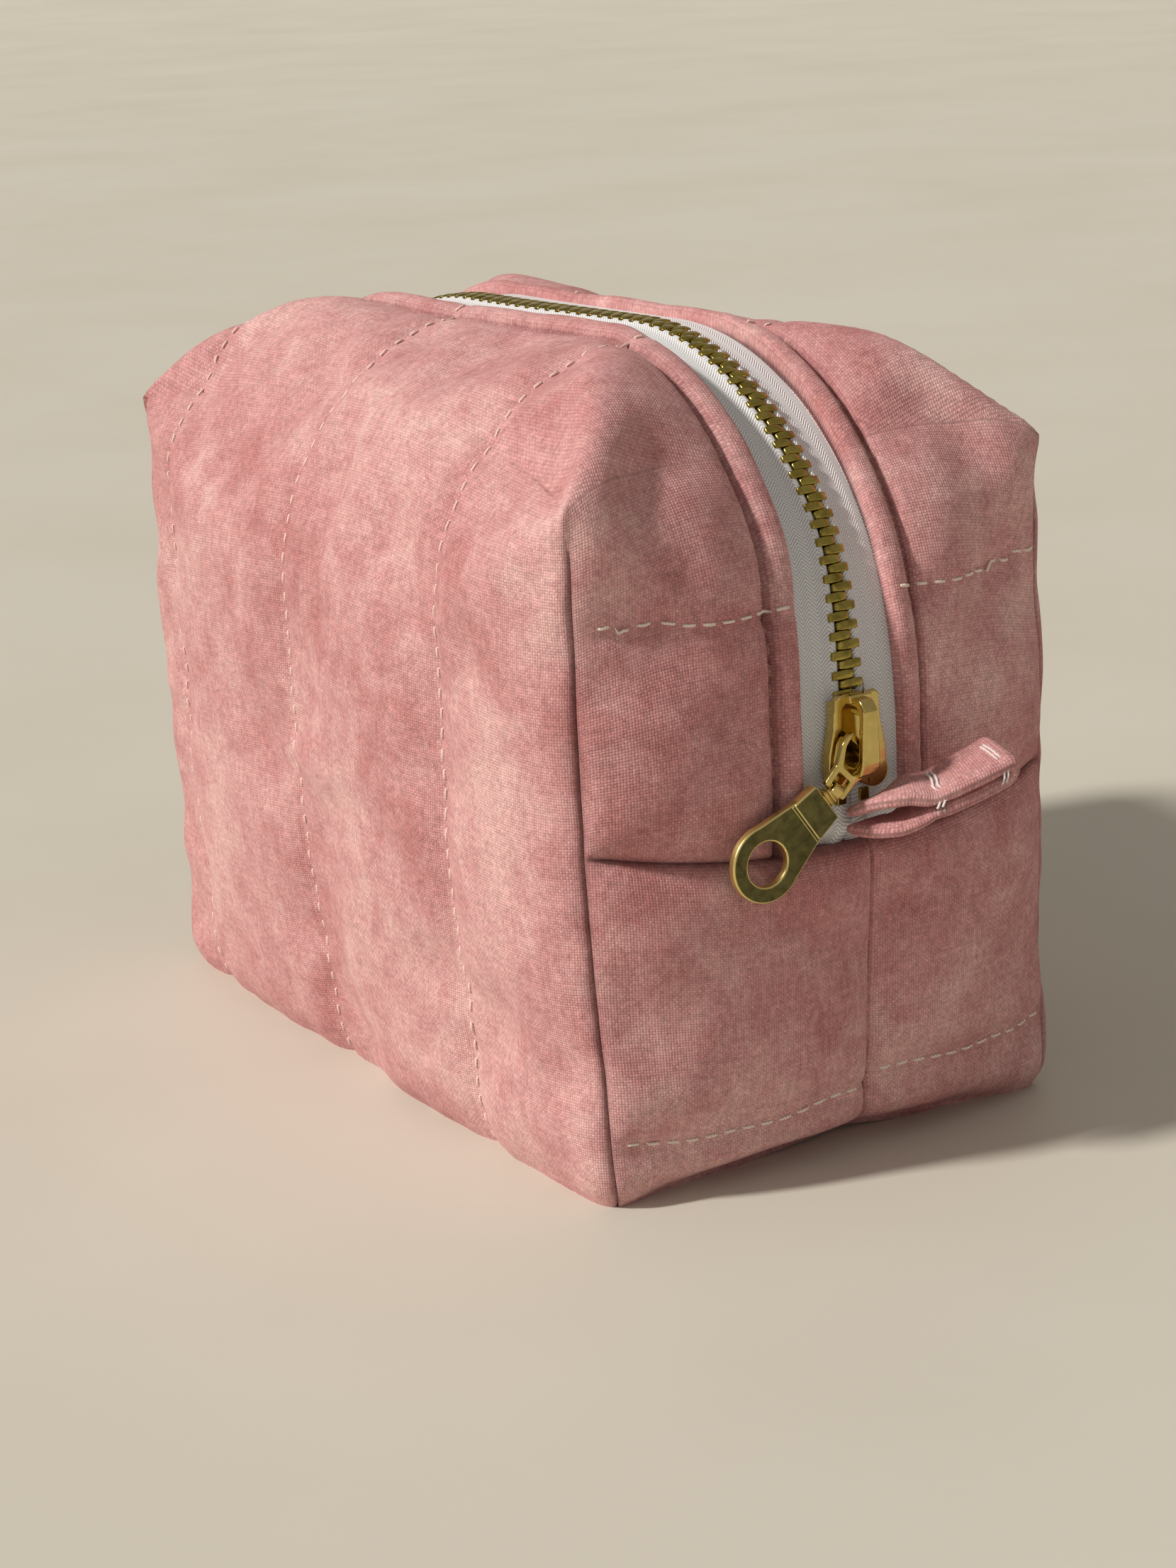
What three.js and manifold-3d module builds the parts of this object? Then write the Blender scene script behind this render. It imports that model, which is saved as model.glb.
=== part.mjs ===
// A boxy quilted makeup bag: two padded side panels joined by a bottom seam, a metal zip that runs
// over the top and half way down both ends, a slider with a ring puller, and a small fabric tab.
// Millimetres, +Z up, +X towards the end with the tab, -Y towards the front panel.
import * as THREE from "three";
import { mergeVertices } from "three/addons/utils/BufferGeometryUtils.js";
import Module from "manifold-3d";

const wasm = await Module();
wasm.setup();

// ---- Driving dimensions -------------------------------------------------------------------
const HALF_LENGTH = 75; // corner seam to middle
const HALF_WIDTH = 43;
const EAR_HEIGHT = 110; // the four pointed top corners
const CREST_HEIGHT = 127.7; // top of the zip
const SEAM_HEIGHT = 58; // end seams, where the zip goes in
const SEAM_GAP = 0.3; // between pieces that meet at a seam
const END_BULGE = 8.2;
const FRONT_BULGE = 4;
const FOOT_FLARE = 3; // the ends spread a little at the floor
const FOOT_TUCK = 1.5; // and the long sides draw in
const ZIP_BEND = 58.7; // radius of the zip over each end
const SHOULDER = 43; // radius of the roll between a long side and the top
const BOTTOM_SEAM_Y = 3.5;
const FABRIC_EDGE = 9; // folded fabric edge, from the zip's middle

const OUTER = { from: 0, to: 0.5 }; // layers, as depths under the outer surface
const TAPE = { from: 0.9, to: 1.5 };
const TEETH = { from: 0.1, to: 2.3 };
const WADDING = { from: 0.8, to: 2.6 };
const LINING = { from: 2.9, to: 3.4 };
const WADDING_EDGE = 14.5; // the wadding stops beside the tape
const TAPE_COLUMNS = [3.3, FABRIC_EDGE, WADDING_EDGE - SEAM_GAP];

const LENGTH_STEPS = 10;
const LOWER_ROWS = 3;
const UPPER_ROWS = 4;
const SIDE_COLUMN = 4; // columns: bottom seam, fabric edge, wadding edge, half way, long side

const TOOTH_PITCH = 2.9;
const TOOTH_LENGTH = 1.1;
const TOOTH_REACH = 0.8; // past the middle, between the teeth of the other row
const CORD = { inner: 1.2, outer: 3 };
const TEETH_START = 67.8; // height where the near end's first tooth is
const CORD_START = 62.8;

const SLIDER_MIDDLE = 70;
const SLIDER_HALF = 7.5;
const PLATE_OUTER = { from: 83.6, to: 84.5 };
const PLATE_INNER = { from: 79.1, to: 80 };
const CROWN = { foot: 84.8, under: 86.6, top: 88, low: 66.5, high: 76.6 };
const LINK_X = 85.85;
const LINK_PIVOT = new THREE.Vector3(LINK_X, 0, 69.4);
const LINK_LEAN = THREE.MathUtils.degToRad(45);
const LINK_REACH = 7.75; // pivot to the bar that carries the puller
const PULLER_LEAN = THREE.MathUtils.degToRad(55);
const RING_CENTRE = 15.5;
const RING_RADIUS = 6;
const RING_HOLE = 3.5;

const TAB_WIDTH = 8;
const TAB_LENGTH = 22.5;
const TAB_ROOT = new THREE.Vector3(83.55, 1.5, SEAM_HEIGHT);

const PINK = new THREE.MeshStandardMaterial({ color: 0xd6968f, roughness: 0.9, metalness: 0 });
const WHITE = new THREE.MeshStandardMaterial({ color: 0xe9e6df, roughness: 0.85, metalness: 0 });
const PADDING = new THREE.MeshStandardMaterial({ color: 0xf2efe8, roughness: 1, metalness: 0 });
const INSIDE = new THREE.MeshStandardMaterial({ color: 0xe8c9c2, roughness: 0.9, metalness: 0 });
const BRASS = new THREE.MeshStandardMaterial({ color: 0xb99a4e, roughness: 0.3, metalness: 1 });

const bag = new THREE.Group();

function place(name, geometry, material) {
  const mesh = new THREE.Mesh(geometry, material);
  mesh.name = name;
  bag.add(mesh);
}

// ---- Solids from lattices of quads ----------------------------------------------------------

// Turns every face round if the mesh is inside out, as it is after a mirrored mapping.
function facingOut(positions, index) {
  const p = (n) => new THREE.Vector3().fromArray(positions, 3 * n);
  let volume = 0;
  for (let n = 0; n < index.length; n += 3) {
    volume += p(index[n]).dot(p(index[n + 1]).cross(p(index[n + 2])));
  }
  const turned = volume < 0 ? index.slice().reverse() : index;
  const geometry = new THREE.BufferGeometry();
  geometry.setAttribute("position", new THREE.Float32BufferAttribute(positions, 3));
  geometry.setIndex(turned);
  return geometry;
}

// A sheet of quads made solid between two skins: each quad lists four lattice corners, and
// at(corner, depth) places a corner on the skin at that depth. Both skins split their quads along
// the same diagonal, so that nested layers stay clear of each other. Open edges get a rim.
function solidSheet(quads, layer, at) {
  const positions = [];
  const index = [];
  const seen = new Map();
  const vertex = (corner, depth) => {
    const key = corner.join() + "/" + depth;
    if (!seen.has(key)) {
      seen.set(key, positions.length / 3);
      positions.push(...at(corner, depth));
    }
    return seen.get(key);
  };
  const face = (a, b, c, d) => index.push(a, b, c, a, c, d);
  const edges = new Set();
  for (const quad of quads) {
    quad.forEach((corner, n) => edges.add(corner.join() + ">" + quad[(n + 1) % 4].join()));
  }
  for (const quad of quads) {
    face(...quad.map((corner) => vertex(corner, layer.from)));
    const [a, b, c, d] = quad.map((corner) => vertex(corner, layer.to));
    index.push(a, c, b, a, d, c);
    quad.forEach((p, n) => {
      const q = quad[(n + 1) % 4];
      if (edges.has(q.join() + ">" + p.join())) return;
      face(vertex(q, layer.from), vertex(p, layer.from), vertex(p, layer.to), vertex(q, layer.to));
    });
  }
  return facingOut(positions, index);
}

// ---- The bag's skin -------------------------------------------------------------------------
// A panel is half a box, from the zip out to a long side and back under to the bottom seam.
// Its lattice corner [i, j, k] runs along the bag, from the middle out to the side, and up.
// "across" is 0 at the zip and 1 at the long side.

const TOP_ROW = LOWER_ROWS + UPPER_ROWS;

// The bag's outline seen from the side, at one distance from the zip.
function outline(across, inset) {
  return {
    half: HALF_LENGTH + END_BULGE * (1 - across ** 2) - inset,
    top: CREST_HEIGHT - (CREST_HEIGHT - EAR_HEIGHT) * across ** 2 - inset,
    bend: Math.max(ZIP_BEND * (1 - across ** 1.6) - inset, 0),
  };
}

// The top rises from the ears' height at the ends to the crest's height in the middle.
function rise(across, x, half) {
  return (CREST_HEIGHT - EAR_HEIGHT) * across ** 2 * (1 - Math.abs(x / half) ** 2.5);
}

// A point on an end, part of the way from the end seam to the middle of the bend.
function upperEnd(across, share, inset, seam) {
  const { half, top, bend } = outline(across, inset);
  const straight = top - bend - seam;
  const run = share * (straight + (bend * Math.PI) / 4);
  if (run <= straight) return { x: half, z: seam + run };
  const turn = (run - straight) / bend;
  const x = half - bend * (1 - Math.cos(turn));
  return { x, z: top - bend * (1 - Math.sin(turn)) + rise(across, x, half) };
}

function lowerEnd(across, z, inset, seam) {
  const bulge = END_BULGE * (1 - across ** 2) * (z / seam) ** 0.7;
  return HALF_LENGTH + bulge + FOOT_FLARE * (1 - z / seam) ** 2 - inset;
}

// A point on the top, from the middle of the bend (along = 1) to mid-length (along = 0).
function overTop(across, along, inset) {
  const { half, top, bend } = outline(across, inset);
  const arc = (bend * Math.PI) / 4;
  const run = (1 - along) * (arc + half - bend);
  if (run >= arc) {
    const x = half - bend - (run - arc);
    return { x, z: top + rise(across, x, half) };
  }
  const turn = Math.PI / 4 + run / bend;
  const x = half - bend * (1 - Math.cos(turn));
  return { x, z: top - bend * (1 - Math.sin(turn)) + rise(across, x, half) };
}

function shoulder(along, inset) {
  return Math.max(SHOULDER * (1 - along ** 3) - inset, 0);
}

// Half the bag's width, below and above the end seams.
function halfWidth(along, z, inset, seam) {
  const share = Math.min(z / seam, 1);
  const bulge = FRONT_BULGE * (1 - along ** 2) * Math.sin((share * Math.PI) / 2);
  return HALF_WIDTH + bulge - FOOT_TUCK * (1 - share) - inset;
}

// Distances of a panel's columns from the zip's middle. The bottom seam is off the middle, on the
// same side of it for both panels.
function panelColumns(side) {
  const seam = side * BOTTOM_SEAM_Y + SEAM_GAP / 2;
  return (j, total) => [seam, FABRIC_EDGE, WADDING_EDGE, (WADDING_EDGE + total) / 2, total][j];
}

function skinPoint([i, j, k], inset, { side, columns, seam }) {
  const lengthwise = (2 * i) / LENGTH_STEPS - 1;
  const along = Math.abs(lengthwise);
  const way = Math.sign(lengthwise);
  const onSide = j === SIDE_COLUMN;
  const share = (k - LOWER_ROWS) / UPPER_ROWS;
  if (k <= LOWER_ROWS && (onSide || k === 0 || along === 1)) {
    const z = inset + ((seam - inset) * k) / LOWER_ROWS;
    const width = halfWidth(along, z, inset, seam);
    const y = side * columns(j, width);
    return [lengthwise * lowerEnd(Math.abs(y) / width, z, inset, seam), y, z];
  }
  const width = halfWidth(along, seam, inset, seam);
  if (along === 1 && k < TOP_ROW) {
    const y = columns(j, width);
    const { x, z } = upperEnd(y / width, share, inset, seam);
    return [way * x, side * y, z];
  }
  const roll = shoulder(along, inset);
  const arc = (roll * Math.PI) / 4;
  if (onSide) {
    const { x, z: top } = overTop(1, along, inset);
    const straight = top - roll - seam;
    const run = share * (straight + arc);
    const turn = run > straight ? (run - straight) / roll : 0;
    const z = run > straight ? top - roll * (1 - Math.sin(turn)) : seam + run;
    return [way * x, side * (width - roll * (1 - Math.cos(turn))), z];
  }
  const total = width - roll + arc;
  const run = columns(j, total);
  const turn = run > width - roll ? (run - (width - roll)) / roll : 0;
  const y = turn > 0 ? width - roll + roll * Math.sin(turn) : run;
  const { x, z } = overTop(run / total, along, inset);
  return [way * x, side * y, z - roll * (1 - Math.cos(turn))];
}

// Starts a quad at the corner that makes its split run towards the nearest pointed corner of the
// bag, so that the ears and the feet are symmetrical.
function splitOutwards(quad) {
  const fromMiddle = ([i, j, k]) => Math.abs(i - LENGTH_STEPS / 2) + j + Math.abs(k - LOWER_ROWS);
  const reach = quad.map(fromMiddle);
  const [a, b, c, d] = quad;
  return Math.max(reach[1], reach[3]) > Math.max(reach[0], reach[2]) ? [b, c, d, a] : quad;
}

// Quads of one face of the lattice box: axis is the direction it faces, first and second the
// two that follow it in cyclic order.
function faceQuads(axis, value, firstRange, secondRange, outwards) {
  const corner = (m, n) => {
    const c = [0, 0, 0];
    c[axis] = value;
    c[(axis + 1) % 3] = m;
    c[(axis + 2) % 3] = n;
    return c;
  };
  const quads = [];
  for (let m = firstRange[0]; m < firstRange[1]; m++) {
    for (let n = secondRange[0]; n < secondRange[1]; n++) {
      const quad = [corner(m, n), corner(m + 1, n), corner(m + 1, n + 1), corner(m, n + 1)];
      quads.push(splitOutwards(outwards ? quad : quad.reverse()));
    }
  }
  return quads;
}

const LENGTHWISE = [0, LENGTH_STEPS];

function lowerQuads() {
  const ends = [0, LENGTH_STEPS].map((i) =>
    faceQuads(0, i, [0, SIDE_COLUMN], [0, LOWER_ROWS], i > 0),
  );
  return [
    ...ends.flat(),
    ...faceQuads(1, SIDE_COLUMN, [0, LOWER_ROWS], LENGTHWISE, true),
    ...faceQuads(2, 0, LENGTHWISE, [0, SIDE_COLUMN], false),
  ];
}

// The strip of the upper lattice from one column to another, up one end and down the other.
function stripQuads(first, last) {
  const ends = [0, LENGTH_STEPS].map((i) =>
    faceQuads(0, i, [first, last], [LOWER_ROWS, TOP_ROW], i > 0),
  );
  return [...ends.flat(), ...faceQuads(2, TOP_ROW, LENGTHWISE, [first, last], true)];
}

function upperQuads(first) {
  const long = faceQuads(1, SIDE_COLUMN, [LOWER_ROWS, TOP_ROW], LENGTHWISE, true);
  return [...stripQuads(first, SIDE_COLUMN), ...long];
}

function panelSheet(quads, layer, side, seam) {
  const fit = { side, columns: panelColumns(side), seam };
  return solidSheet(quads, layer, (corner, depth) => skinPoint(corner, depth, fit));
}

// The tape lies just under the folded fabric edge and follows the same lattice stations.
function tapeSheet(side) {
  const fit = { side, columns: (j) => TAPE_COLUMNS[j], seam: SEAM_HEIGHT + SEAM_GAP };
  const quads = stripQuads(0, TAPE_COLUMNS.length - 1);
  return solidSheet(quads, TAPE, (corner, depth) => skinPoint(corner, depth, fit));
}

// ---- Zip teeth ------------------------------------------------------------------------------

const BEND_X = HALF_LENGTH + END_BULGE - ZIP_BEND; // the bends' centres
const BEND_Z = CREST_HEIGHT - ZIP_BEND;
const BEND_RUN = (ZIP_BEND * Math.PI) / 2;

// A point of the zip's middle line, by its run from where the near bend starts.
function zipPoint(run, depth) {
  const radius = ZIP_BEND - depth;
  if (run < 0) return [BEND_X + radius, BEND_Z + run];
  if (run < BEND_RUN) {
    const turn = run / ZIP_BEND;
    return [BEND_X + radius * Math.cos(turn), BEND_Z + radius * Math.sin(turn)];
  }
  if (run <= BEND_RUN + BEND_X) return [BEND_X - (run - BEND_RUN), BEND_Z + radius];
  const [x, z] = zipPoint(2 * (BEND_RUN + BEND_X) - run, depth);
  return [-x, z];
}

// One row: a cord with teeth that reach between those of the other row.
function teethSheet(side) {
  const offset = side < 0 ? 0 : TOOTH_PITCH / 2;
  const start = TEETH_START - BEND_Z + offset;
  const end = 2 * (BEND_RUN + BEND_X) - (CORD_START - BEND_Z);
  const stations = [CORD_START - BEND_Z];
  for (let run = start; run + TOOTH_LENGTH < end; run += TOOTH_PITCH) {
    stations.push(run, run + TOOTH_LENGTH);
  }
  stations.push(end);
  const rows = [-TOOTH_REACH, CORD.inner, CORD.outer];
  const quads = [];
  for (let n = 0; n + 1 < stations.length; n++) {
    const tooth = n % 2 === 1;
    for (let row = tooth ? 0 : 1; row < 2; row++) {
      quads.push([[n, row], [n, row + 1], [n + 1, row + 1], [n + 1, row]]);
    }
  }
  return solidSheet(quads, TEETH, ([n, row], depth) => {
    const [x, z] = zipPoint(stations[n], depth);
    return [x, side * rows[row], z];
  });
}

// ---- Extruded and joined pieces ---------------------------------------------------------------

// A shape extruded through a thickness, with the shape's own axes laid along two directions.
function extruded(shape, thickness, origin, along, up, curveSegments = 12) {
  const geometry = new THREE.ExtrudeGeometry(shape, {
    depth: thickness,
    bevelEnabled: false,
    curveSegments,
  });
  const out = new THREE.Vector3().crossVectors(along, up);
  const basis = new THREE.Matrix4().makeBasis(along, up, out).setPosition(origin);
  return geometry.applyMatrix4(basis);
}

function polygon(points) {
  return new THREE.Shape(points.map(([x, y]) => new THREE.Vector2(x, y)));
}

function rectangle(x0, y0, x1, y1) {
  return polygon([[x0, y0], [x1, y0], [x1, y1], [x0, y1]]);
}

function solid(geometry) {
  const bare = geometry.clone();
  bare.deleteAttribute("normal");
  bare.deleteAttribute("uv");
  const merged = mergeVertices(bare, 1e-4);
  return new wasm.Manifold(
    new wasm.Mesh({
      numProp: 3,
      vertProperties: new Float32Array(merged.attributes.position.array),
      triVerts: new Uint32Array(merged.index.array),
    }),
  );
}

function joined(adds, cuts = []) {
  let body = adds.map(solid).reduce((a, b) => a.add(b));
  for (const cut of cuts) body = body.subtract(solid(cut));
  const mesh = body.getMesh();
  const geometry = new THREE.BufferGeometry();
  geometry.setAttribute("position", new THREE.Float32BufferAttribute(mesh.vertProperties, 3));
  geometry.setIndex([...mesh.triVerts]);
  return geometry;
}

const X = new THREE.Vector3(1, 0, 0);
const Y = new THREE.Vector3(0, 1, 0);
const Z = new THREE.Vector3(0, 0, 1);

// An outline in the end's own plane (y across, z up), thick along x.
function facingEnd(shape, layer) {
  return extruded(shape, layer.to - layer.from, new THREE.Vector3(layer.from, 0, 0), Y, Z);
}

// ---- Slider -----------------------------------------------------------------------------------

const TAIL_HALF = 4.1;
const NOSE_HALF = 5.5;
const TAIL = SLIDER_MIDDLE + SLIDER_HALF;
const NOSE = SLIDER_MIDDLE - SLIDER_HALF;

// The slider's plate: narrow at the tail, with two round lobes at the nose.
function plateShape() {
  const shape = new THREE.Shape();
  shape.moveTo(-TAIL_HALF, TAIL - 1);
  shape.quadraticCurveTo(-TAIL_HALF, TAIL, -TAIL_HALF + 1, TAIL);
  shape.lineTo(TAIL_HALF - 1, TAIL);
  shape.quadraticCurveTo(TAIL_HALF, TAIL, TAIL_HALF, TAIL - 1);
  shape.quadraticCurveTo(TAIL_HALF, SLIDER_MIDDLE + 1, NOSE_HALF, SLIDER_MIDDLE - 3);
  shape.quadraticCurveTo(NOSE_HALF, NOSE, 3.2, NOSE);
  shape.quadraticCurveTo(1.2, NOSE, 0, NOSE + 1.4);
  shape.quadraticCurveTo(-1.2, NOSE, -3.2, NOSE);
  shape.quadraticCurveTo(-NOSE_HALF, NOSE, -NOSE_HALF, SLIDER_MIDDLE - 3);
  shape.quadraticCurveTo(-TAIL_HALF, SLIDER_MIDDLE + 1, -TAIL_HALF, TAIL - 1);
  return shape;
}

// The rim that turns in along one side of a plate and holds the teeth in the channel.
function flangeShape(side) {
  const wall = 0.7;
  return polygon([
    [side * (TAIL_HALF - wall), TAIL - 0.6],
    [side * TAIL_HALF, TAIL - 1],
    [side * (TAIL_HALF + 0.2), SLIDER_MIDDLE + 2],
    [side * (NOSE_HALF - 0.1), SLIDER_MIDDLE - 3],
    [side * (NOSE_HALF - 0.5), NOSE + 1.6],
    [side * (NOSE_HALF - 0.5 - wall), NOSE + 1.6],
    [side * (NOSE_HALF - 0.1 - wall), SLIDER_MIDDLE - 3],
    [side * (TAIL_HALF + 0.2 - wall), SLIDER_MIDDLE + 2],
  ]);
}

function slider() {
  const lip = 0.7;
  const overlap = 0.1;
  const outerLip = { from: PLATE_OUTER.from - lip, to: PLATE_OUTER.from + overlap };
  const innerLip = { from: PLATE_INNER.to - overlap, to: PLATE_INNER.to + lip };
  const flanges = [-1, 1].flatMap((side) =>
    [outerLip, innerLip].map((layer) => facingEnd(flangeShape(side), layer)),
  );
  const [low, high] = [NOSE + 1.3, NOSE + 4.6];
  const divider = polygon([[-0.85, low], [0.85, low], [0.3, high], [-0.3, high]]);
  const pinHole = rectangle(-0.8, TAIL - 3.7, 0.8, TAIL - 1.9);
  place(
    "slider_body",
    joined(
      [
        facingEnd(plateShape(), PLATE_OUTER),
        facingEnd(plateShape(), PLATE_INNER),
        facingEnd(divider, { from: PLATE_INNER.to - overlap, to: PLATE_OUTER.from + overlap }),
        ...flanges,
      ],
      [facingEnd(pinHole, { from: PLATE_OUTER.from - 1, to: PLATE_OUTER.to + 1 })],
    ),
    BRASS,
  );
}

// The crown is a bridge along the slider: a wide strap on two narrow feet.
function crown() {
  const { foot, under, top, low, high } = CROWN;
  const strap = new THREE.Shape();
  strap.moveTo(under, low);
  strap.lineTo(top - 0.7, low);
  strap.quadraticCurveTo(top, low, top, low + 1.4);
  strap.lineTo(top, high - 2.6);
  strap.quadraticCurveTo(top - 0.1, high, under - 0.6, high);
  strap.lineTo(under, high - 1.4);
  const feet = [
    rectangle(foot, low, under + 0.2, low + 1),
    polygon([[foot, high - 1], [under + 0.2, high - 1.8], [under + 0.2, high - 0.2], [foot, high]]),
  ];
  const alongY = (shape, half) => extruded(shape, 2 * half, new THREE.Vector3(0, half, 0), X, Z);
  place(
    "slider_crown",
    joined([alongY(strap, 1.1), ...feet.map((shape) => alongY(shape, 0.8))]),
    BRASS,
  );
  const pin = rectangle(-0.45, TAIL - 3.3, 0.45, TAIL - 2.3);
  place("slider_lock_pin", facingEnd(pin, { from: 83.4, to: 85.6 }), BRASS);
}

// ---- Pull ---------------------------------------------------------------------------------------

// Directions of a pull that leans sideways on the end: down its length, and across it.
function downLength(lean) {
  return new THREE.Vector3(0, -Math.sin(lean), -Math.cos(lean));
}

function flatPiece(shape, thickness, pivot, lean) {
  const along = downLength(lean);
  const across = new THREE.Vector3().crossVectors(X, along);
  const origin = pivot.clone().addScaledVector(X, -thickness / 2);
  return extruded(shape, thickness, origin, along, across, 9);
}

// A frame with a wide window round the crown's foot and a slot for the puller's eye.
function link() {
  const mirrored = (points) => polygon([...points, ...points.map(([u, v]) => [u, -v]).reverse()]);
  const frame = mirrored([[-0.5, 3.4], [0, 3.8], [2.2, 3.8], [5.6, 2.3], [8.2, 2.3]]);
  const window = mirrored([[0.5, 3], [1.9, 3], [5, 1.5]]);
  const slot = mirrored([[5.9, 1.25], [7.3, 1.25]]);
  const thick = (shape, thickness) => flatPiece(shape, thickness, LINK_PIVOT, LINK_LEAN);
  return joined([thick(frame, 0.9)], [thick(window, 2), thick(slot, 2)]);
}

function pullerShape() {
  const shape = new THREE.Shape();
  const open = THREE.MathUtils.degToRad(112);
  shape.moveTo(2.4, -3.6);
  shape.lineTo(7.2, -4);
  shape.absarc(RING_CENTRE, 0, RING_RADIUS, -open, open, false);
  shape.lineTo(7.2, 4);
  shape.lineTo(2.4, 3.6);
  const hole = new THREE.Path();
  hole.absarc(RING_CENTRE, 0, RING_HOLE, 0, 2 * Math.PI, true);
  shape.holes.push(hole);
  return shape;
}

function ringShape(outer, inner) {
  const shape = new THREE.Shape();
  shape.absarc(0, 0, outer, 0, 2 * Math.PI, false);
  const hole = new THREE.Path();
  hole.absarc(0, 0, inner, 0, 2 * Math.PI, true);
  shape.holes.push(hole);
  return shape;
}

function pull() {
  place("pull_link", link(), BRASS);
  const bar = LINK_PIVOT.clone().addScaledVector(downLength(LINK_LEAN), LINK_REACH);
  const eyeHalf = 0.9;
  const linkDown = downLength(LINK_LEAN);
  const across = new THREE.Vector3().crossVectors(X, linkDown);
  const eyeStart = bar.clone().addScaledVector(across, eyeHalf);
  const eye = extruded(ringShape(1.15, 0.75), 2 * eyeHalf, eyeStart, linkDown, X, 6);
  const neck = flatPiece(rectangle(1.05, -0.8, 2.6, 0.8), 1.2, bar, PULLER_LEAN);
  const block = flatPiece(rectangle(2.4, -3.6, 6.8, 3.6), 2, bar, PULLER_LEAN);
  const plate = flatPiece(pullerShape(), 1.4, bar, PULLER_LEAN);
  place("puller", joined([plate, block, neck, eye]), BRASS);
}

// ---- Fabric tab -----------------------------------------------------------------------------------

// The tab leaves the seam straight out, turns sideways, and then runs along the end.
function tabPlan(run) {
  const firstRun = 6;
  const firstTurn = Math.PI / 3;
  const lastTurn = Math.PI / 6;
  const radius = firstRun / firstTurn;
  const near = Math.min(run, firstRun) / radius;
  const x = radius * Math.sin(near);
  const y = radius * (1 - Math.cos(near));
  if (run <= firstRun) return { x, y, heading: near };
  const rate = lastTurn / (TAB_LENGTH - firstRun);
  const more = (run - firstRun) * rate;
  const heading = firstTurn + more;
  return {
    x: x + (Math.sin(heading) - Math.sin(firstTurn)) / rate,
    y: y + (Math.cos(firstTurn) - Math.cos(heading)) / rate,
    heading,
  };
}

// A strip folded back on itself: its side view has a gap near the seam, and it rises as it goes.
function tab() {
  const climb = 0.33;
  const gapStart = 2;
  const gapLength = 9;
  const steps = 16;
  const halfThick = (run) => 1.8 + 1.3 * Math.sin(Math.PI * Math.min(run / 13, 1)) ** 2;
  const rounding = (fromEnd) => Math.sqrt(Math.min(fromEnd / 1.5 + 0.25, 1));
  const edge = (run) => halfThick(run) * rounding(run) * rounding(TAB_LENGTH - run);
  const gap = (run) => 1.4 * Math.sin((Math.PI * (run - gapStart)) / gapLength);
  const runs = Array.from({ length: steps + 1 }, (_, n) => (TAB_LENGTH * n) / steps);
  const holeRuns = Array.from({ length: 9 }, (_, n) => gapStart + (gapLength * n) / 8);
  const band = (list, half) => [
    ...list.map((run) => [run, climb * run - half(run)]),
    ...[...list].reverse().map((run) => [run, climb * run + half(run)]),
  ];
  const shape = polygon(band(runs, edge));
  const inside = ([run], n) => n < 9 || (run > gapStart + 0.1 && run < gapStart + gapLength - 0.1);
  const holeEdge = band(holeRuns, gap).filter(inside);
  shape.holes.push(polygon(holeEdge));
  const flat = extruded(shape, TAB_WIDTH, new THREE.Vector3(0, TAB_WIDTH / 2, 0), X, Z);
  const position = flat.getAttribute("position");
  for (let n = 0; n < position.count; n++) {
    const { x, y, heading } = tabPlan(position.getX(n));
    const off = position.getY(n);
    position.setXYZ(
      n,
      TAB_ROOT.x + x - off * Math.sin(heading),
      TAB_ROOT.y + y + off * Math.cos(heading),
      TAB_ROOT.z + position.getZ(n),
    );
  }
  place("side_tab", flat, PINK);
}

// ---- Stops ----------------------------------------------------------------------------------------

// Small brass clips on the cords: one a side under the closed slider, and one across both at the
// far end.
function stops() {
  const face = HALF_LENGTH + END_BULGE;
  const layer = { from: face - 2.3, to: face - 0.1 };
  place("zip_top_stop_front", facingEnd(rectangle(-3, 60.2, -1.2, 62.2), layer), BRASS);
  place("zip_top_stop_back", facingEnd(rectangle(1.2, 60.2, 3, 62.2), layer), BRASS);
  const far = { from: -layer.to, to: -layer.from };
  place("zip_bottom_stop", facingEnd(rectangle(-3, 59.6, 3, 62.2), far), BRASS);
}

// ---- Assembly -------------------------------------------------------------------------------------

const halfGap = SEAM_GAP / 2;
for (const [name, side] of [["front", -1], ["back", 1]]) {
  const lower = panelSheet(lowerQuads(), OUTER, side, SEAM_HEIGHT - halfGap);
  const upper = panelSheet(upperQuads(1), OUTER, side, SEAM_HEIGHT + halfGap);
  const wadding = [...lowerQuads(), ...upperQuads(2)];
  const lining = [...lowerQuads(), ...upperQuads(1)];
  place(`outer_${name}_lower`, lower, PINK);
  place(`outer_${name}_upper`, upper, PINK);
  place(`wadding_${name}`, panelSheet(wadding, WADDING, side, SEAM_HEIGHT), PADDING);
  place(`lining_${name}`, panelSheet(lining, LINING, side, SEAM_HEIGHT), INSIDE);
  place(`zip_tape_${name}`, tapeSheet(side), WHITE);
  place(`zip_teeth_${name}`, teethSheet(side), BRASS);
}
stops();
slider();
crown();
pull();
tab();

export default bag;
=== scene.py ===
import math

import bmesh
import bpy
import numpy as np
from mathutils import Matrix, Vector, noise
from mathutils.bvhtree import BVHTree
from mathutils.interpolate import poly_3d_calc


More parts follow.
